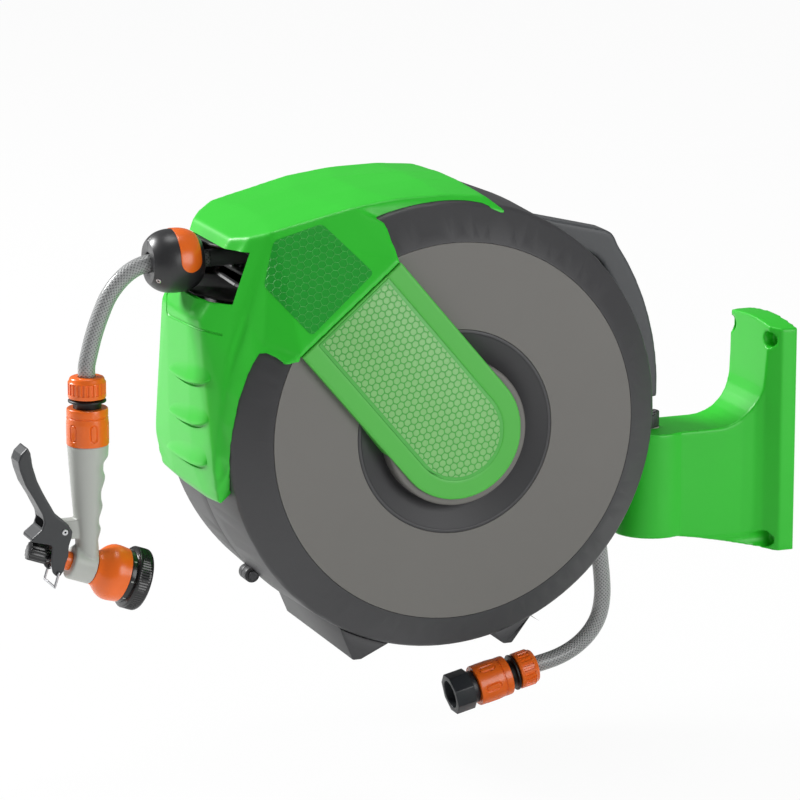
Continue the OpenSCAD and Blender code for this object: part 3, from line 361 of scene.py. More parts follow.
def merged_copy(name):
    """The solid as one closed mesh, so that its edges can be worked on."""
    o = new_object(name + "_moulding", frame["nodes"][name].data.copy())
    return edited(o, bpy.ops.mesh.remove_doubles, threshold=SAME_POINT)


def flat_faced(o):
    """Joins the triangles of each flat face, so that only true edges are left."""
    return edited(o, bpy.ops.mesh.dissolve_limited, angle_limit=math.radians(0.5))


def ease_edges(o, edge, steps):
    apply(o, "BEVEL", width=edge, segments=steps, limit_method="ANGLE",
          angle_limit=math.radians(28), use_clamp_overlap=False)


def eased(name, m, edge=0.0006, steps=2):
    """A moulding whose edges are eased by a small round."""
    o = flat_faced(merged_copy(name))
    ease_edges(o, edge, steps)
    return finish(o, m, BODY_OF[name], SLOT_OF[name], name)


def softened(name, grid, rounds):
    """A moulding with soft corners all over, as a thick plastic part has."""
    o = merged_copy(name)
    apply(o, "REMESH", mode="VOXEL", voxel_size=grid)
    apply(o, "SMOOTH", factor=0.5, iterations=rounds)
    return o


def dress(m, *names):
    for name in names:
        cad = frame["nodes"][name]
        cad.data.materials.clear()
        cad.data.materials.append(m)


green = plastic("bright green", (0.022, 0.560, 0.022), rough=0.42)
nylon = plastic("natural nylon", (0.68, 0.67, 0.60), rough=0.5)
steel = plastic("zinc steel", (0.60, 0.60, 0.62), rough=0.32, fine=500.0, Metallic=1.0)
bracket = softened("wall_bracket", 0.0014, 4)
finish(bracket, green, "bracket", "green", "wall_bracket", angle=60)
dress(nylon, "pivot_bush")
dress(steel, "swivel_pin", "pin_clip")


# The casing: two dark grey moulded halves that meet in a fine seam round the rim, each
# with a rounded edge, a sloping ring and a sunk hub. A warm grey annular panel is set
# flush in each face, and a ring round the hub carries the end of the arm.
shell_grey = plastic("casing grey", (0.048, 0.048, 0.051), rough=0.48)
panel_grey = plastic("panel grey", (0.158, 0.153, 0.142), rough=0.55, fine=2200.0)
for side in ("near", "far"):
    eased(side + "_shell", shell_grey, 0.0007)
    eased(side + "_panel", panel_grey, 0.0003, 1)
    eased(side + "_hub_ring", panel_grey, 0.0005)
eased("feet", shell_grey, 0.0012)
eased("hinge_lug", shell_grey, 0.0008)
dark_steel = plastic("blackened steel", (0.10, 0.10, 0.105), rough=0.4, Metallic=1.0)
dress(dark_steel, "shell_screws")


def turned(name, outline, sides=96):
    """A turned part: the closed outline of radius and height in mm, spun once about Z."""
    n = len(outline)
    o = meshed(name, [(r / 1000, 0, z / 1000) for r, z in outline],
               edges=[(i, (i + 1) % n) for i in range(n)])
    edited(o, bpy.ops.mesh.spin, steps=sides, angle=2 * math.pi, center=(0, 0, 0), axis=(0, 0, 1))
    edited(o, bpy.ops.mesh.remove_doubles, threshold=SAME_POINT)
    return outward(o)


def about_drum(o, turn=90):
    """Lays a turned part on the drum's axis, its heights to the near side, or the far one."""
    o.matrix_world = Matrix.Translation(HUB) @ Matrix.Rotation(math.radians(turn), 4, "X")
    take(o)
    bpy.ops.object.transform_apply(location=True, rotation=True, scale=True)
    return o


CONE = [(88.5, 114.8), (67.4, 103.8), (67.4, 103.4), (79.8, 103.4)]
for side, turn in (("near", 90), ("far", -90)):
    cone = turned(side + "_hub_cone", CONE, 144)
    finish(about_drum(cone, turn), shell_grey, "casing", SLOT_OF["near_shell"])


# The hood: a bright green shell over the front and top of the casing, with sloping sides
# and cheeks down to the casing's ring. Under the window it carries a shallow groove, and
# down its front three overlapping scales, each with a lip that ends in a fine channel.
PICTURE = 800
# Pixels of the photograph: each scale's left tip, lowest point and right tip, and the groove.
SCALES = [((168.4, 368.6), (192.6, 384.5), (211.0, 379.0)),
          ((168.4, 409.6), (192.6, 425.8), (208.6, 420.7)),
          ((166.3, 446.2), (194.0, 465.4), (207.0, 463.8))]
GROOVE = [(167.2, 293.0), (166.8, 303.0), (166.5, 310.0), (167.6, 314.0), (171.0, 316.4),
          (185.0, 323.0), (199.0, 329.0), (212.0, 333.0), (224.5, 335.7)]
# How far a scale stands out in mm, by the rows of pixels above its lip.
SCALE_ROWS = {-2.6: 0, 0: 4.0, 0.6: 4.1, 4: 3.3, 8: 2.0, 13: 0.8, 19: 0}
GROOVE_R, FOOT_R = 0.0013, 0.0019
VIEW_PLACE = camera.location.copy()
VIEW_TURN = camera.rotation_quaternion.to_matrix()
PIXELS_PER_UNIT = lens.lens / lens.sensor_width * PICTURE


def seen_on(o, px, py):
    """The place and normal on a piece that a pixel of the photograph shows, or the next one
    to the right where the pixel lies just off its edge."""
    for k in range(40):
        across, up = px + k / 2 - PICTURE / 2, PICTURE / 2 - py
        ray = VIEW_TURN @ Vector((across / PIXELS_PER_UNIT, up / PIXELS_PER_UNIT, -1))
        hit, where, normal, _ = o.ray_cast(VIEW_PLACE, ray.normalized())
        if hit:
            return where, normal
    raise ValueError("no surface near pixel %s, %s" % (px, py))


def discard(o):
    mesh = o.data
    bpy.data.objects.remove(o)
    bpy.data.meshes.remove(mesh)


def blend_in(o, cutter, how):
    apply(o, "BOOLEAN", operation=how, object=cutter, solver="EXACT")
    discard(cutter)


HOOD_EDGES = [
    (-185, 174, 50), (-174, 177, 68), (-158, 183, 81), (-96, 193.5, 82), (-85, 200, 85),
    (-45, 205, 85), (0, 206, 85), (38, 202.5, 87), (52, 191, 97), (-188, 120, 70),
    (-166, 146, 82), (-182, 113, 81), (-197.5, 77, 81), (-205, 40, 82), (-209, 5, 82),
    (-212, -25, 82), (-207, -53, 79),
]
HOOD_MIDDLE = [
    (-150, 187, 30), (-100, 199, 30), (-60, 206, 30), (0, 209, 20), (38, 206, 20),
    (-217.5, 104, 28), (-214, 104, 52), (-216, 55, 30), (-213, 55, 60), (-216, -5, 30),
    (-213.5, -5, 60), (-214, -32, 30), (-209, -52, 42), (-202, -60, 30),
]
SLOPE_EDGES = [(-96, 193.5, 82), (-158, 183, 81), (-166, 146, 83), (-182, 113, 82),
               (-173, 91, 101), (-85, 200, 85), (-60, 188, 98)]
CHEEK_OUTER = [(-148, 84, 121), (-157, 92, 110), (-166, 100, 100), (-175, 107, 90), (-182, 113, 82),
               (-188, 96, 82), (-194, 80, 82), (-203, 50, 82), (-208, 20, 82), (-211, -12, 82),
               (-212, -43, 80)]
CHEEK_INNER = [(-147, 78, 122), (-159.9, 74.8, 117), (-165.5, 79.6, 112), (-172.7, 83, 106.5),
               (-178, 82.3, 103), (-183.3, 73.6, 102), (-187.8, 63.2, 101), (-195.8, 41.3, 100),
               (-200.9, 14.5, 98), (-202.8, -13.6, 93), (-199.5, -43.9, 82)]
CORE, WALL, ARCH_X, ARCH_Z = 60, 3, -140, 20
CHEEK_OVERLAP, ARCH_ROOM, ARCH_FROM, ARCH_TO = 0.97, 0.8, 78, 135
HOOD_GRID, HOOD_ROUNDS = 0.0019, 8
ARM_ANGLE, ARM_R, ARM_REACH = 130, 60, 156
ALONG = (math.cos(math.radians(ARM_ANGLE)), math.sin(math.radians(ARM_ANGLE)))


def hull_of(name, bars):
    """The tight skin round bars along the drum's axis: their place, ends and radius in mm."""
    spots = []
    for (x, z), ends, r in bars:
        for k in range(24):
            a = math.pi * k / 12
            spots += [at(x + r * math.cos(a), y, z + r * math.sin(a)) for y in ends]
    return edited(meshed(name, spots), bpy.ops.mesh.convex_hull)


def hood_hull(name, wall):
    """The hood's form, or the room inside it at a wall's thickness from its outside."""
    bars = []
    for x, z, half in HOOD_EDGES + HOOD_MIDDLE:
        spot = (x + wall * (x < -100), z - wall * (z > 100))
        bars.append((spot, (wall - half, half - wall), 2))
    return hull_of(name, bars)


def shrunk(line, k):
    """The line drawn in toward the middle of the arch that the casing shows beside the hood."""
    return [(k * (x - ARCH_X) + ARCH_X, k * (z - ARCH_Z) + ARCH_Z, half) for x, z, half in line]


def wedge(side, outer, inner, foot=CORE):
    """A block on one side of the hood: its face runs from one line of points to another."""
    n = len(outer)
    spots = [at(x, side * half, z) for x, z, half in outer + inner]
    spots += [at(x, side * foot, z) for x, z, half in outer + inner]
    faces = []
    for k in range(n - 1):
        for a, b in ((0, n), (3 * n, 2 * n), (2 * n, 0), (n, 3 * n)):
            faces.append((a + k, a + k + 1, b + k + 1, b + k))
    for k in (0, n - 1):
        faces.append((k, n + k, 3 * n + k, 2 * n + k))
    return outward(meshed("wedge", spots, faces))


hood = hood_hull("front_hood_moulding", 0)
arm_end = ARM_REACH + 1
for side in (-1, 1):
    corners = [(arm_end * ALONG[0] + k * ALONG[1], arm_end * ALONG[1] - k * ALONG[0])
               for k in (ARM_R - 1, 1 - ARM_R)]
    ends = [(corner, (side * CORE, side * (FACE + 8)), 1) for corner in corners]
    ends += [((x, z), (side * CORE, side * half), 1) for x, z, half in SLOPE_EDGES]
    blend_in(hood, hull_of("slope", ends), "UNION")
    blend_in(hood, wedge(side, CHEEK_OUTER, shrunk(CHEEK_INNER, CHEEK_OVERLAP)), "UNION")
apply(hood, "REMESH", mode="VOXEL", voxel_size=HOOD_GRID)
apply(hood, "SMOOTH", factor=0.5, iterations=HOOD_ROUNDS)
for side in (-1, 1):
    edge = [(x, z, ARCH_TO) for x, z, half in CHEEK_INNER[1:]]
    blend_in(hood, wedge(side, edge, shrunk(edge, ARCH_ROOM), ARCH_FROM), "DIFFERENCE")
groove_line = []
for p, q in zip(GROOVE, GROOVE[1:]):
    steps = max(2, round(math.dist(p, q) / 2))
    for k in range(steps):
        spot = Vector(p).lerp(Vector(q), k / steps)
        groove_line.append(seen_on(hood, *spot)[0])


def rod_along(name, line, radius, sides=10, pointed=False):
    """A round rod along the points, closed at both ends, which can taper toward them."""
    verts = []
    for i, c in enumerate(line):
        t = (line[min(i + 1, len(line) - 1)] - line[max(i - 1, 0)]).normalized()
        u = t.orthogonal().normalized() if i == 0 else (u - t * u.dot(t)).normalized()
        v = t.cross(u)
        r = radius * math.sin(math.pi * (i + 0.6) / (len(line) + 0.2)) if pointed else radius
        for k in range(sides):
            a = 2 * math.pi * k / sides
            verts.append(c + r * (u * math.cos(a) + v * math.sin(a)))
    return meshed(name, verts, ring_faces(len(line), sides))


blend_in(hood, rod_along("groove_cutter", groove_line, GROOVE_R), "DIFFERENCE")


def lip_points(scale, steps=40):
    """The pixels of a scale's lip, and how far each is from the tips: 0 there, 1 between."""
    a, b, c = (Vector(p) for p in scale)
    points = []
    for i in range(steps + 1):
        bow = 1 - (2 * i / steps - 1) ** 2
        p = a.lerp(c, i / steps) + (b - (a + c) / 2) * bow
        points.append((p - Vector((0, 3 * bow)), bow))
    return points


def scale_foot(scale):
    """The line on the hood that runs just under a scale's lip."""
    below = -min(SCALE_ROWS)
    return [seen_on(hood, p.x, p.y + below * bow ** 0.5)[0] for p, bow in lip_points(scale)[3:-3]]


def scale_lip(scale):
    """A raised scale: it swells down to a lip between two points, lowest in the middle, and
    falls back below the lip in a short slanted step."""
    points, sunk, root = lip_points(scale), 0.15, 0.0015
    tops, feet = [], []
    for p, bow in points:
        for row, swell in SCALE_ROWS.items():
            where, normal = seen_on(hood, p.x, p.y - row * bow ** 0.5)
            tops.append(where + normal * (swell * bow ** 0.6 - sunk) / 1000)
            feet.append(where - normal * root)
    steps, n, m = len(points) - 1, len(SCALE_ROWS), len(tops)
    faces = []
    for i in range(steps):
        for k in range(n - 1):
            q = i * n + k
            faces += [(q, q + 1, q + n + 1, q + n), (m + q, m + q + n, m + q + n + 1, m + q + 1)]
        for q in (i * n, i * n + n - 1):
            faces.append((q, q + n, m + q + n, m + q))
    for i in (0, steps):
        for k in range(n - 1):
            q = i * n + k
            faces.append((q, q + 1, m + q + 1, m + q))
    o = edited(meshed("scale", tops + feet, faces), bpy.ops.mesh.remove_doubles, threshold=0.00001)
    return outward(o)


def box(centre, size):
    """A plain block, to be cut away or joined on."""
    bpy.ops.object.select_all(action="DESELECT")
    bpy.ops.mesh.primitive_cube_add(size=1, location=centre)
    o = bpy.context.object
    o.scale = size
    bpy.ops.object.transform_apply(location=True, rotation=True, scale=True)
    return o


lips = [scale_lip(scale) for scale in SCALES]
feet = [scale_foot(scale) for scale in SCALES]
for lip, foot in zip(lips, feet):
    blend_in(hood, lip, "UNION")
    blend_in(hood, rod_along("foot_cutter", foot, FOOT_R, pointed=True), "DIFFERENCE")
edge_r, edge_at, edge_high = 10.3, 193, 87
round_edge = []
for a in (60, 45, 30, 15, 0):
    a = math.radians(a)
    round_edge.append((edge_at + edge_r * math.cos(a), edge_high + edge_r * math.sin(a)))
half_line = [(0, 103.3), (79.7, 103.3), (88.7, 115.3), (170.15, 115.3)] + round_edge
casing_form = half_line + [(206.3, 0)] + [(r, -h) for r, h in reversed(half_line)]
blend_in(hood, about_drum(turned("casing_form", casing_form, 192)), "DIFFERENCE")
inside = hood_hull("inside", WALL)
drum_room = [(0, 130), (RIM + 1, 130), (RIM + 1, -130), (0, -130)]
blend_in(inside, about_drum(turned("drum_room", drum_room, 192)), "DIFFERENCE")
blend_in(hood, inside, "DIFFERENCE")
window = box(at(-200, 0, HOSE_LINE - 6), (0.120, 0.144, 0.046))
blend_in(hood, window, "DIFFERENCE")
finish(hood, green, "casing", "green", "front_hood", angle=32)


# The arms and their inlays: a green arm on each side runs from the hood down to the hub.
# A plate is let into it, moulded with rows of small raised hexagons, and a plate with finer
# lines lies on each sloping side of the hood, its green darker than the hood's as painted shade.
def make_honeycomb():
    g, i, o = group(
        "honeycomb", [("Float", "Along", 0.0), ("Float", "Across", 0.0), ("Float", "Pitch", 6.5)],
        [("Float", "Cell"), ("Float", "Line")],
    )
    x = maths(g, "ADD", maths(g, "DIVIDE", i.outputs["Along"], i.outputs["Pitch"]), 300.0)
    y = maths(g, "ADD", maths(g, "DIVIDE", i.outputs["Across"], i.outputs["Pitch"]), 300 * 3 ** 0.5)
    near = []
    for shift in (0.0, 0.5):
        gx = maths(g, "SUBTRACT", maths(g, "MODULO", maths(g, "ADD", x, shift), 1.0), 0.5)
        gy = maths(g, "SUBTRACT", maths(g, "MODULO", maths(g, "ADD", y, shift * 3 ** 0.5), 3 ** 0.5),
                   3 ** 0.5 / 2)
        ax, ay = maths(g, "ABSOLUTE", gx), maths(g, "ABSOLUTE", gy)
        hexagon = maths(g, "MAXIMUM", ax, maths(g, "MULTIPLY_ADD", ay, 3 ** 0.5 / 2,
                                                maths(g, "MULTIPLY", ax, 0.5)))
        reach = maths(g, "SQRT", maths(g, "ADD", maths(g, "MULTIPLY", gx, gx),
                                       maths(g, "MULTIPLY", gy, gy)))
        near.append((hexagon, reach))
    hexagon = maths(g, "MINIMUM", near[0][0], near[1][0])
    reach = maths(g, "MINIMUM", near[0][1], near[1][1])
    cell = node(g, "MapRange", interpolation_type="SMOOTHSTEP")
    both = maths(g, "ADD", maths(g, "MULTIPLY", hexagon, 0.45), maths(g, "MULTIPLY", reach, 0.55))
    for k, v in enumerate((0.465, 0.385, 0.0, 1.0)):
        cell.inputs[k + 1].default_value = v
    line = node(g, "MapRange", interpolation_type="SMOOTHSTEP")
    for k, v in enumerate((0.435, 0.485, 0.0, 1.0)):
        line.inputs[k + 1].default_value = v
    g.links.new(both, cell.inputs[0])
    g.links.new(hexagon, line.inputs[0])
    g.links.new(cell.outputs[0], o.inputs["Cell"])
    g.links.new(line.outputs[0], o.inputs["Line"])
    return g


honeycomb = make_honeycomb()


def cell_material(name, base, cell, line, pitch, flat):
    """Green plastic with hexagons. Flat ones follow the piece's map, arm ones the arm."""
    m, t, s = material(name)
    round_end, short = 39.4, 4.5
    if flat:
        where = node(t, "UVMap", uv_map="cells")
        split = node(t, "SeparateXYZ")
        t.links.new(where.outputs[0], split.inputs[0])
        along, across = split.outputs[0], split.outputs[1]
        along = maths(t, "MULTIPLY", along, 1000.0)
        across = maths(t, "MULTIPLY", across, 1000.0)
    else:
        where = node(t, "TexCoord")
        c, n = math.cos(math.radians(ARM_ANGLE)), math.sin(math.radians(ARM_ANGLE))
        axes = []
        for d in ((c, n), (n, -c)):
            dot = node(t, "VectorMath", operation="DOT_PRODUCT")
            dot.inputs[1].default_value = (d[0] * 1000, 0, d[1] * 1000)
            t.links.new(where.outputs["Object"], dot.inputs[0])
            axes.append(maths(t, "SUBTRACT", dot.outputs["Value"],
                              1000 * (HUB.x * d[0] + HUB.z * d[1])))
        along, across = axes
    h = place(t, honeycomb, Pitch=pitch)
    t.links.new(along, h.inputs["Along"])
    t.links.new(across, h.inputs["Across"])
    cells, lines = h.outputs["Cell"], h.outputs["Line"]
    if not flat:
        back = maths(t, "MINIMUM", along, 0.0)
        away = maths(t, "SQRT", maths(t, "ADD", maths(t, "MULTIPLY", back, back),
                                      maths(t, "MULTIPLY", across, across)))
        inside = maths(t, "MULTIPLY", maths(t, "LESS_THAN", away, round_end),
                       maths(t, "LESS_THAN", along, ARM_REACH - short))
        cells, lines = maths(t, "MULTIPLY", cells, inside), maths(t, "MULTIPLY", lines, inside)
    g = place(t, grain, Roughness=0.45, Mottle=0.05, Depth=0.00003)
    tint = node(t, "Mix", data_type="RGBA")
    tint.inputs[6].default_value, tint.inputs[7].default_value = (*base, 1), (*cell, 1)
    t.links.new(cells, tint.inputs[0])
    edge = node(t, "Mix", data_type="RGBA")
    edge.inputs[7].default_value = (*line, 1)
    t.links.new(lines, edge.inputs[0])
    t.links.new(tint.outputs[2], edge.inputs[6])
    t.links.new(edge.outputs[2], g.inputs["Colour"])
    t.links.new(g.outputs["Colour"], s.inputs["Base Color"])
    t.links.new(g.outputs["Roughness"], s.inputs["Roughness"])
    relief = node(t, "Bump", Strength=0.8, Distance=0.0004)
    t.links.new(cells if not flat else lines, relief.inputs["Height"])
    t.links.new(g.outputs["Normal"], relief.inputs["Normal"])
    t.links.new(relief.outputs[0], s.inputs["Normal"])
    return m


arm_green = plastic("arm green", (0.075, 0.470, 0.055), rough=0.42)
cell_green = cell_material("inlay cells", (0.085, 0.45, 0.075), (0.225, 0.53, 0.175),
                           (0.060, 0.40, 0.055), 6.5, False)
# Painted shade: the slope plate's base green is darker than the hood's to stand in for the shade on the
# sloping side.
slope_green_painted_shade = cell_material("slope cells with painted shade", (0.004, 0.335, 0.020), (0.004, 0.335, 0.020),
                            (0.035, 0.44, 0.050), 7.0, True)
for side in ("near", "far"):
    arm = softened(side + "_arm", 0.0011, 4)
    finish(arm, arm_green, "casing", SLOT_OF[side + "_arm"], side + "_arm", angle=60)
    inlay = merged_copy(side + "_inlay")
    ease_edges(inlay, 0.0007, 2)
    finish(inlay, cell_green, "casing", SLOT_OF[side + "_inlay"], side + "_inlay")
# Pixels of the photograph, clockwise round the near slope plate.
SLOPE_CORNERS = [(274, 241), (322, 224), (374, 273), (312, 336), (264, 286)]


def slope_plate(name, side):
    """A thin plate laid on the sloping side of the hood, with soft corners."""
    reach, arc, spacing, rings, lift, thick = 5, 6, 3, 16, 0.0004, 0.0012
    outline = []
    for i, corner in enumerate(SLOPE_CORNERS):
        p, before = Vector(corner), Vector(SLOPE_CORNERS[i - 1])
        after = Vector(SLOPE_CORNERS[(i + 1) % len(SLOPE_CORNERS)])
        u, v = (before - p).normalized() * reach, (after - p).normalized() * reach
        outline += [p + u * (1 - k / arc) ** 2 + v * (k / arc) ** 2 for k in range(arc + 1)]
        run = int((after - p).length / spacing)
        outline += [(p + v).lerp(after - v, k / run) for k in range(1, run)]
    middle = sum(outline, Vector((0, 0))) / len(outline)
    n = len(outline)
    pixels = [middle] + [middle.lerp(p, k / rings) for k in range(1, rings + 1) for p in outline]
    verts, lie = [], Vector()
    for pixel in pixels:
        where, normal = seen_on(hood, *pixel)
        lie += normal
        verts.append(where + normal * lift)
    if side > 0:
        verts = [Vector((v.x, -v.y, v.z)) for v in verts]
        lie.y = -lie.y
    lie.normalize()
    faces = [(0, 1 + k, 1 + (k + 1) % n) for k in range(n)]
    for i in range(rings - 1):
        for k in range(n):
            a, b = 1 + i * n + k, 1 + i * n + (k + 1) % n
            faces.append((a, a + n, b + n, b))
    o = meshed(name, verts, faces)
    x_axis = (verts[1 + (rings - 1) * n] - verts[0]).normalized()
    y_axis = lie.cross(x_axis).normalized()
    cells = o.data.uv_layers.new(name="cells")
    for loop in o.data.loops:
        p = verts[loop.vertex_index] - verts[0]
        cells.data[loop.index].uv = (p.dot(x_axis), p.dot(y_axis))
    outward(o)
    if o.data.polygons[0].normal.dot(lie) < 0:
        o.data.flip_normals()
    apply(o, "SOLIDIFY", thickness=thick, offset=-1)
    return finish(o, slope_green_painted_shade, "casing", "inlay_green")


slope_plate("near_slope_plate", -1)
slope_plate("far_slope_plate", 1)


# The window duct and its rollers, the carrying handle and the gland at the back:
# near-black mouldings, and a dark grey handle with rounded edges.
black = plastic("black", (0.005, 0.005, 0.0055), rough=0.45)
grip_grey = plastic("grip grey", (0.072, 0.076, 0.081), rough=0.45)
eased("hose_tunnel", black, 0.0004)
eased("upper_roller", black, 0.0005)
eased("lower_roller", black, 0.0005)
handle = softened("carry_handle", 0.0014, 12)
finish(handle, grip_grey, "casing", "handle", "carry_handle", angle=60)
eased("inlet_gland", black, 0.0006)


# The stop ball on the hose: two dark egg-shaped halves screwed together round the hose,
# with a seam between them, and an orange inlay that wraps over the top to below the middle.
BALL_X, BALL_R, BALL_HALF = -RIM - 19, 28.5, 23.5


def ball_radius(s):
    return BALL_R * math.sqrt(max(0, 1 - (abs(s) / (BALL_HALF + 6)) ** 2.6))


def stand_at(o, origin, turn):
    """Moves a part from its own axis to its place: a turn in degrees about Y, or over."""
    o.matrix_world = Matrix.Translation(origin) @ Matrix.Rotation(math.radians(turn), 4, "Y")
    take(o)
    bpy.ops.object.transform_apply(location=True, rotation=True, scale=True)
    return o


orange = plastic("orange", (0.88, 0.150, 0.012), rough=0.26, depth=0.00002)
dark = plastic("dark moulding", (0.026, 0.026, 0.028), rough=0.34)
steps = [BALL_HALF * math.sin(math.radians(a)) for a in range(-90, 91, 5)]
half_ball = turned("stop_ball_halves", [(ball_radius(s), s) for s in steps]
                   + [(HOSE_R + 0.5, BALL_HALF), (HOSE_R + 0.3, -12), (HOSE_R + 1.6, -BALL_HALF)])
stand_at(half_ball, at(BALL_X, 0, HOSE_LINE), 90)
edited(half_ball, bpy.ops.mesh.bisect, plane_co=(0, -0.0001, 0), plane_no=(0, 1, 0),
       use_fill=True, clear_outer=True)
apply(half_ball, "BEVEL", width=0.0005, segments=2, limit_method="ANGLE",
      angle_limit=math.radians(50))
apply(half_ball, "MIRROR", use_axis=(False, True, False), use_bisect_axis=(False, False, False))
finish(half_ball, dark, "casing", "dark", "stop_ball")


def ball_inlay():
    """The orange inlay: a strip over the ball with a round end on each side."""
    middle, wide, lift, thick, reach = 8.5, 10.2, 0.45, 0.0016, math.radians(103)
    straight = reach - wide / BALL_R
    verts, faces = [], []
    rows, cols = 72, 16
    for i in range(rows + 1):
        turn = reach * math.sin(math.pi / 2 * (2 * i / rows - 1))
        past = max(0.0, abs(turn) - straight) * BALL_R
        half = math.sqrt(max(0.01, wide ** 2 - past ** 2))
        for j in range(cols + 1):
            s = middle + half * (2 * j / cols - 1)
            r = ball_radius(s) + lift
            verts.append(at(BALL_X + s, -r * math.sin(turn), HOSE_LINE + r * math.cos(turn)))
    for i in range(rows):
        for j in range(cols):
            k = i * (cols + 1) + j
            faces.append((k, k + cols + 1, k + cols + 2, k + 1))
    o = meshed("ball_inlay", verts, faces)
    middle_at = at(BALL_X, 0, HOSE_LINE)
    if o.data.polygons[len(faces) // 2].normal.dot(verts[len(verts) // 2] - middle_at) < 0:
        o.data.flip_normals()
    apply(o, "SOLIDIFY", thickness=thick, offset=-1)
    apply(o, "BEVEL", width=0.0004, segments=2, limit_method="ANGLE", angle_limit=math.radians(50))
    return finish(o, orange, "casing", "orange", "ball_band")


ball_inlay()
SCREW_PIXEL = (158.6, 281.0)
spot, lie = seen_on(half_ball, *SCREW_PIXEL)
ball_screw = turned("ball_screw", [(0, -2), (2.3, -2), (2.3, 0.2), (1.9, 0.5), (1.1, 0.5),
                                   (0.9, -0.4), (0, -0.4)], 32)
ball_screw.matrix_world = Matrix.Translation(spot) @ lie.to_track_quat("Z", "Y").to_matrix().to_4x4()
finish(ball_screw, steel, "casing", "steel")


# The snap couplings: an orange ribbed nut clamps the hose on a dark barbed core, and an
# orange collar with six oval pads slides over the core to free the fitting it holds.
NUT_R, COLLAR_FROM, COLLAR_LONG, COLLAR_R = 17, 28, 33, 19


def radial(o, change):
    """Moves each point of a turned part in or out by change(angle, height) in mm."""
    for v in o.data.vertices:
        r = math.hypot(v.co.x, v.co.y) * 1000
        if r < 0.1:
            continue
        k = 1 + change(math.atan2(v.co.y, v.co.x), v.co.z * 1000, r) / r
        v.co.x *= k
        v.co.y *= k
    o.data.update()


def ribs(count, depth, low, high, over):
    """Flutes between two heights on whatever stands outside a radius."""
    def change(angle, z, r):
        if r < over or not low < z < high:
            return 0
        wave = math.cos(angle * count)
        return -depth * min(1, max(0, 0.5 + 1.6 * wave))
    return change


def ovals(angle, z, r):
    """The groove round each oval pad of the collar."""
    if r < COLLAR_R - 1.2:
        return 0
    sector = math.radians(60)
    a = ((angle - math.radians(30)) / sector + 0.5) % 1 - 0.5
    across, along = a * sector * COLLAR_R, z - (COLLAR_FROM + 20.5)
    away = math.hypot(across, max(0, abs(along) - 4.4)) - 3.0
    if away > 0.9:
        return 0
    return -0.9 * (0.5 + 0.5 * math.cos(math.pi * away / 0.9)) if away > -0.9 else 0.15


def make_nut():
    rings = (4.6, 5.2, 5.8, 7.5, 10, 12.5, 14.2, 14.8, 15.4, 17.9)
    o = turned("coupling_nut", [
        (8.1, 0), (13.6, 0), (14.8, 0.5), (15.6, 1.6), (16.0, 3.4), (16.8, 4.3)]
        + [(NUT_R, z) for z in rings]
        + [(16.6, 18.7), (15.8, 19), (13.1, 19), (13.1, 4.4), (8.1, 4.4)], 240)
    radial(o, ribs(24, 0.9, 5.0, 15.0, 16.5))
    return o


def make_collar():
    top = COLLAR_FROM
    rise = [(COLLAR_R - 0.4 + 0.4 * min(1, k / 8), top + 9 + 0.55 * k) for k in range(42)]
    return turned("coupling_collar", [(12.7, top), (17.6, top), (18.3, top + 0.6), (18.6, top + 2),
                                      (18.6, top + 6.6), (17.9, top + 7.2), (17.9, top + 7.9),
                                      (18.6, top + 8.5)] + rise
                  + [(COLLAR_R, top + 32), (18.5, top + COLLAR_LONG), (12.7, top + COLLAR_LONG)], 360)


nut, collar = make_nut(), make_collar()
radial(collar, ovals)
GUN_X, NUT_TOP = -RIM - 100.5, HOSE_LINE - 98
INLET_TILT = 13
END_X, END_Z = INLET[-1]


def placed_copy(o, name, origin, turn):
    twin = new_object(name, o.data.copy())
    return stand_at(twin, origin, turn)


for where, origin, turn in (("outlet", at(GUN_X, 0, NUT_TOP), 180),
                            ("inlet", at(END_X, 0, END_Z), -90 - INLET_TILT)):
    finish(placed_copy(nut, where + "_clamp_nut", origin, turn), orange, "casing", "orange",
           where + "_nut")
    finish(placed_copy(collar, where + "_snap_collar", origin, turn), orange, where + "_collar",
           "orange", where + "_sleeve")
    eased(where + "_core", black, 0.0004)
for pattern in (nut, collar):
    discard(pattern)
adaptor_black = plastic("adaptor black", (0.020, 0.023, 0.027), rough=0.40)
eased("tap_adaptor", adaptor_black, 0.0008, 3)


# The spray gun: a pale grey grip with four finger waves, moulded in one with the barrel,
# and a dark spoon-shaped trigger hung on a hollow rivet. The trigger pulls a valve stem
# with a black flow knob, and a wire ring holds it back.
GUN_Z = NUT_TOP - COLLAR_FROM - COLLAR_LONG
BARREL_X, BARREL_Z, BARREL_TILT = GUN_X + 2, GUN_Z - 113, 20
PIVOT_X, PIVOT_Z = GUN_X - 26.5, GUN_Z - 75
GRIP_BACK = [(0, 18.5), (-15, 17.6), (-38, 16), (-62, 14.2), (-90, 12.6), (-112, 12)]
GRIP_SIDE = [(0, 18.5), (-35, 16), (-68, 14.2), (-94, 13), (-112, 12.5)]
GRIP_WAVES = [
    (0, 18.5), (-10, 18.0), (-18, 13.2), (-23, 12.9), (-30, 14.7), (-45, 10.6), (-49, 10.6),
    (-56, 12.0), (-69, 8.2), (-72, 8.3), (-77, 10.0), (-87, 7.2), (-94, 7.6), (-112, 8.0),
]


def between(points, z, soft):
    """The width at a height, straight or in waves between the named points."""
    for (z0, w0), (z1, w1) in zip(points, points[1:]):
        if z >= z1:
            f = (z0 - z) / (z0 - z1)
            f = f * f * (3 - 2 * f) if soft else f
            return w0 + (w1 - w0) * max(0, f)
    return points[-1][1]


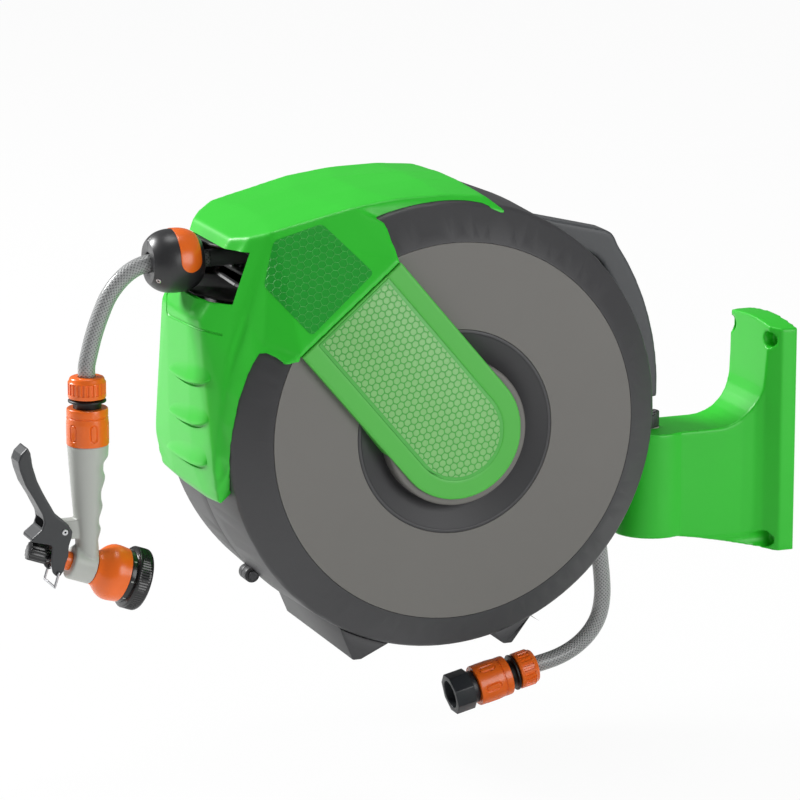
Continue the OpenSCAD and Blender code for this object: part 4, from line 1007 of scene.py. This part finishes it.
def grip_form():
    sides, verts = 64, []
    heights = [-1.0 * k for k in range(113)]
    for z in heights:
        back_w, side_w = between(GRIP_BACK, z, False), between(GRIP_SIDE, z, False)
        wave = between(GRIP_WAVES, z, True)
        for k in range(sides):
            a = 2 * math.pi * k / sides
            c, s = math.cos(a), math.sin(a)
            verts.append(at(GUN_X + c * (wave if c > 0 else back_w), -s * side_w, GUN_Z + z))
    return meshed("gun_grip", verts, ring_faces(len(heights), sides))


def on_barrel(o):
    return stand_at(o, at(BARREL_X, 0, BARREL_Z), 90 + BARREL_TILT)


pale = plastic("pale grey", (0.455, 0.470, 0.440), rough=0.40, fine=2000.0)
gun = grip_form()
barrel = on_barrel(turned("barrel", [(0, -22), (14.4, -22), (15.5, -20.5), (15.5, 0), (0, 0)], 64))
blend_in(gun, barrel, "UNION")
block = box(at(PIVOT_X + 6, 0, PIVOT_Z - 0.5), (0.020, 0.014, 0.017))
blend_in(gun, block, "UNION")
apply(gun, "REMESH", mode="VOXEL", voxel_size=0.0008)
apply(gun, "SMOOTH", factor=0.5, iterations=8)
lean = math.radians(90 + BARREL_TILT)
forward = Vector((math.sin(lean), 0, math.cos(lean)))
edited(gun, bpy.ops.mesh.bisect, plane_co=at(BARREL_X, 0, BARREL_Z) - forward * 0.0001,
       plane_no=forward, use_fill=True, clear_outer=True)
spigot = turned("spigot", [(0, -20), (9.5, -20), (9.5, 28), (8.5, 29), (0, 29)], 48)
spigot.matrix_world = Matrix.Translation(at(GUN_X, 0, GUN_Z))
finish(gun, pale, "gun", "pale", "gun_body", angle=60)
finish(spigot, black, "gun", "dark")
gland = on_barrel(turned("valve_gland", [(3.1, -35), (7.6, -35), (8.4, -34), (8.4, -21), (3.1, -21)], 64))
finish(gland, orange, "gun", "orange")
nozzle_post = on_barrel(turned("nozzle_post", [(4, -3), (7.8, -3), (7.8, 34), (4, 34)], 48))
finish(nozzle_post, pale, "gun", "pale")
trigger_grey = plastic("trigger grey", (0.036, 0.038, 0.041), rough=0.36)
trigger = softened("gun_trigger", 0.0007, 9)
finish(trigger, trigger_grey, "trigger", "trigger", "gun_trigger", angle=60)
rivet = turned("trigger_rivet", [(1.0, -14.9), (2.4, -14.9), (2.8, -14.5), (2.8, -14.1), (2, -14.1),
                                 (2, 14.1), (2.8, 14.1), (2.8, 14.5), (2.4, 14.9), (1.0, 14.9)], 40)
rivet.matrix_world = Matrix.Translation(at(PIVOT_X, 0, PIVOT_Z)) @ Matrix.Rotation(math.pi / 2, 4, "X")
finish(rivet, steel, "gun", "steel", "trigger_pin")
knob_black = plastic("knob black", (0.012, 0.012, 0.013), rough=0.22)
eased("flow_knob", knob_black, 0.0003)
dress(steel, "valve_stem", "hold_ring")


# The pattern dial at the front of the gun: an orange flare that turns with a black ring,
# marked by plain ticks, with rows of small jets in its face.
flare = on_barrel(turned("dial_flare", [
    (8.1, 0.4), (14.9, 0.4), (15.5, 1.0), (15.8, 2.6), (17.4, 5.0), (20.0, 7.6), (22.6, 10.6),
    (24.4, 13.8), (25.3, 17.0), (25.4, 20.5), (25.1, 24.0), (24.7, 27.0), (24.6, 28.6),
    (23.6, 29.2), (8.1, 29.2)], 128))
finish(flare, orange, "dial", "orange", "pattern_dial")
ring = turned("dial_ring", [
    (8.1, 29.2), (23.9, 29.2), (24.1, 29.8), (24.1, 33.6), (25.6, 34.2), (27.4, 34.6), (28.1, 35.4)]
    + [(28.3, 36 + 0.9 * k) for k in range(12)]
    + [(28.1, 46.9), (27.2, 48.2), (25.6, 48.8), (24.2, 48.6), (23.8, 46.6), (8.1, 46.6)], 288)
radial(ring, ribs(72, 0.45, 36.5, 45.5, 28))
finish(on_barrel(ring), knob_black, "dial", "dark")
JET_RINGS = ((1, 0), (6, 5.5), (12, 11), (18, 16.5))
TICKS = 8


def joined(pieces):
    bpy.ops.object.select_all(action="DESELECT")
    for o in pieces:
        o.select_set(True)
    bpy.context.view_layer.objects.active = pieces[0]
    bpy.ops.object.join()
    return pieces[0]


jet = turned("dial_jets", [(0.4, 46), (1.3, 46), (1.3, 47.3), (1.0, 47.6), (0.4, 47.6)], 12)
jets = [jet]
for count, away in JET_RINGS:
    for k in range(count):
        a = 2 * math.pi * k / count
        twin = new_object("dial_jet", jet.data.copy())
        twin.matrix_world = Matrix.Translation((away * math.cos(a) / 1000, away * math.sin(a) / 1000, 0))
        jets.append(twin)
finish(on_barrel(joined(jets)), trigger_grey, "dial", "dark")
ticks = []
for k in range(TICKS):
    mark = box((0.0241, 0, 0.0317), (0.0003, 0.0010, 0.0026))
    mark.matrix_world = Matrix.Rotation(2 * math.pi * k / TICKS, 4, "Z")
    bpy.ops.object.transform_apply(location=True, rotation=True, scale=True)
    ticks.append(mark)
marks = joined(ticks)
marks.name = "dial_ticks"
apply(marks, "BEVEL", width=0.00008, segments=1)
finish(on_barrel(marks), pale, "dial", "pale")


# Inside the casing: the drum with its hose, the rewinding spring, the geared hose guide
# and the ratchet, as they are seen when the casing is open.
drum_grey = plastic("drum grey", (0.05, 0.05, 0.052), rough=0.5)
dress(drum_grey, "drum_core", "near_flange", "far_flange", "feed_pipe")
dress(orange, "hose_guide")
dress(nylon, "drum_bushes", "drum_gear", "idler_gear", "ratchet_pawl")
dress(steel, "axle", "axle_nuts", "spring_arbor", "mainspring", "idler_stud", "traverse_screw",
      "guide_rod", "pawl_stud")
dress(braided, "wound_hose", "hose_lead")


# The set: a white floor under the reel and soft lamps, as in a small product studio.
# The floor and the backdrop look pure white, as the photograph's ground does.
FLOOR_Z = -0.262


def stage_floor():
    bpy.ops.object.select_all(action="DESELECT")
    bpy.ops.mesh.primitive_plane_add(size=14, location=(0, 0, FLOOR_Z))
    floor = bpy.context.object
    floor.name = "floor"
    bpy.ops.object.transform_apply(location=True, rotation=True, scale=True)
    m = bpy.data.materials.new("studio floor")
    m.use_nodes = True
    t = m.node_tree
    t.nodes.clear()
    paper = node(t, "BsdfDiffuse", Color=(0.82, 0.82, 0.82, 1))
    glow = node(t, "Emission", Color=(1, 1, 1, 1), Strength=1.0)
    ray = t.nodes.new("ShaderNodeLightPath")
    mix = node(t, "MixShader")
    t.links.new(maths(t, "MULTIPLY", ray.outputs["Is Camera Ray"], 0.95), mix.inputs[0])
    t.links.new(paper.outputs[0], mix.inputs[1])
    t.links.new(glow.outputs[0], mix.inputs[2])
    out = t.nodes.new("ShaderNodeOutputMaterial")
    t.links.new(mix.outputs[0], out.inputs[0])
    floor.data.materials.append(m)


stage_floor()
world = bpy.data.worlds.new("studio")
bpy.context.scene.world = world
world.use_nodes = True
t = world.node_tree
t.nodes.clear()
ray = t.nodes.new("ShaderNodeLightPath")
sky = node(t, "Background", Color=(1, 1, 1, 1), Strength=0.2)
white = node(t, "Background", Color=(1, 1, 1, 1), Strength=1.0)
mix = node(t, "MixShader")
out = t.nodes.new("ShaderNodeOutputWorld")
t.links.new(ray.outputs["Is Camera Ray"], mix.inputs[0])
t.links.new(sky.outputs[0], mix.inputs[1])
t.links.new(white.outputs[0], mix.inputs[2])
t.links.new(mix.outputs[0], out.inputs[0])


def lamp(name, place_at, aim, size, watts):
    data = bpy.data.lights.new(name, "AREA")
    data.shape, data.size, data.energy = "DISK", size, watts
    o = bpy.data.objects.new(name, data)
    bpy.context.scene.collection.objects.link(o)
    o.location = place_at
    o.rotation_mode = "QUATERNION"
    o.rotation_quaternion = (Vector(aim) - Vector(place_at)).to_track_quat("-Z", "Y")


lamp("top", (-0.4, 0.3, 3.1), (-0.4, 0, 0.05), 1.3, 26)
lamp("left", (-2.9, 2.5, 2.3), (-0.4, 0, 0.05), 1.2, 215)
lamp("front", (0.9, -2.7, 0.9), (-0.3, 0, 0.0), 2.0, 46)

bpy.context.scene.view_settings.view_transform = "Standard"
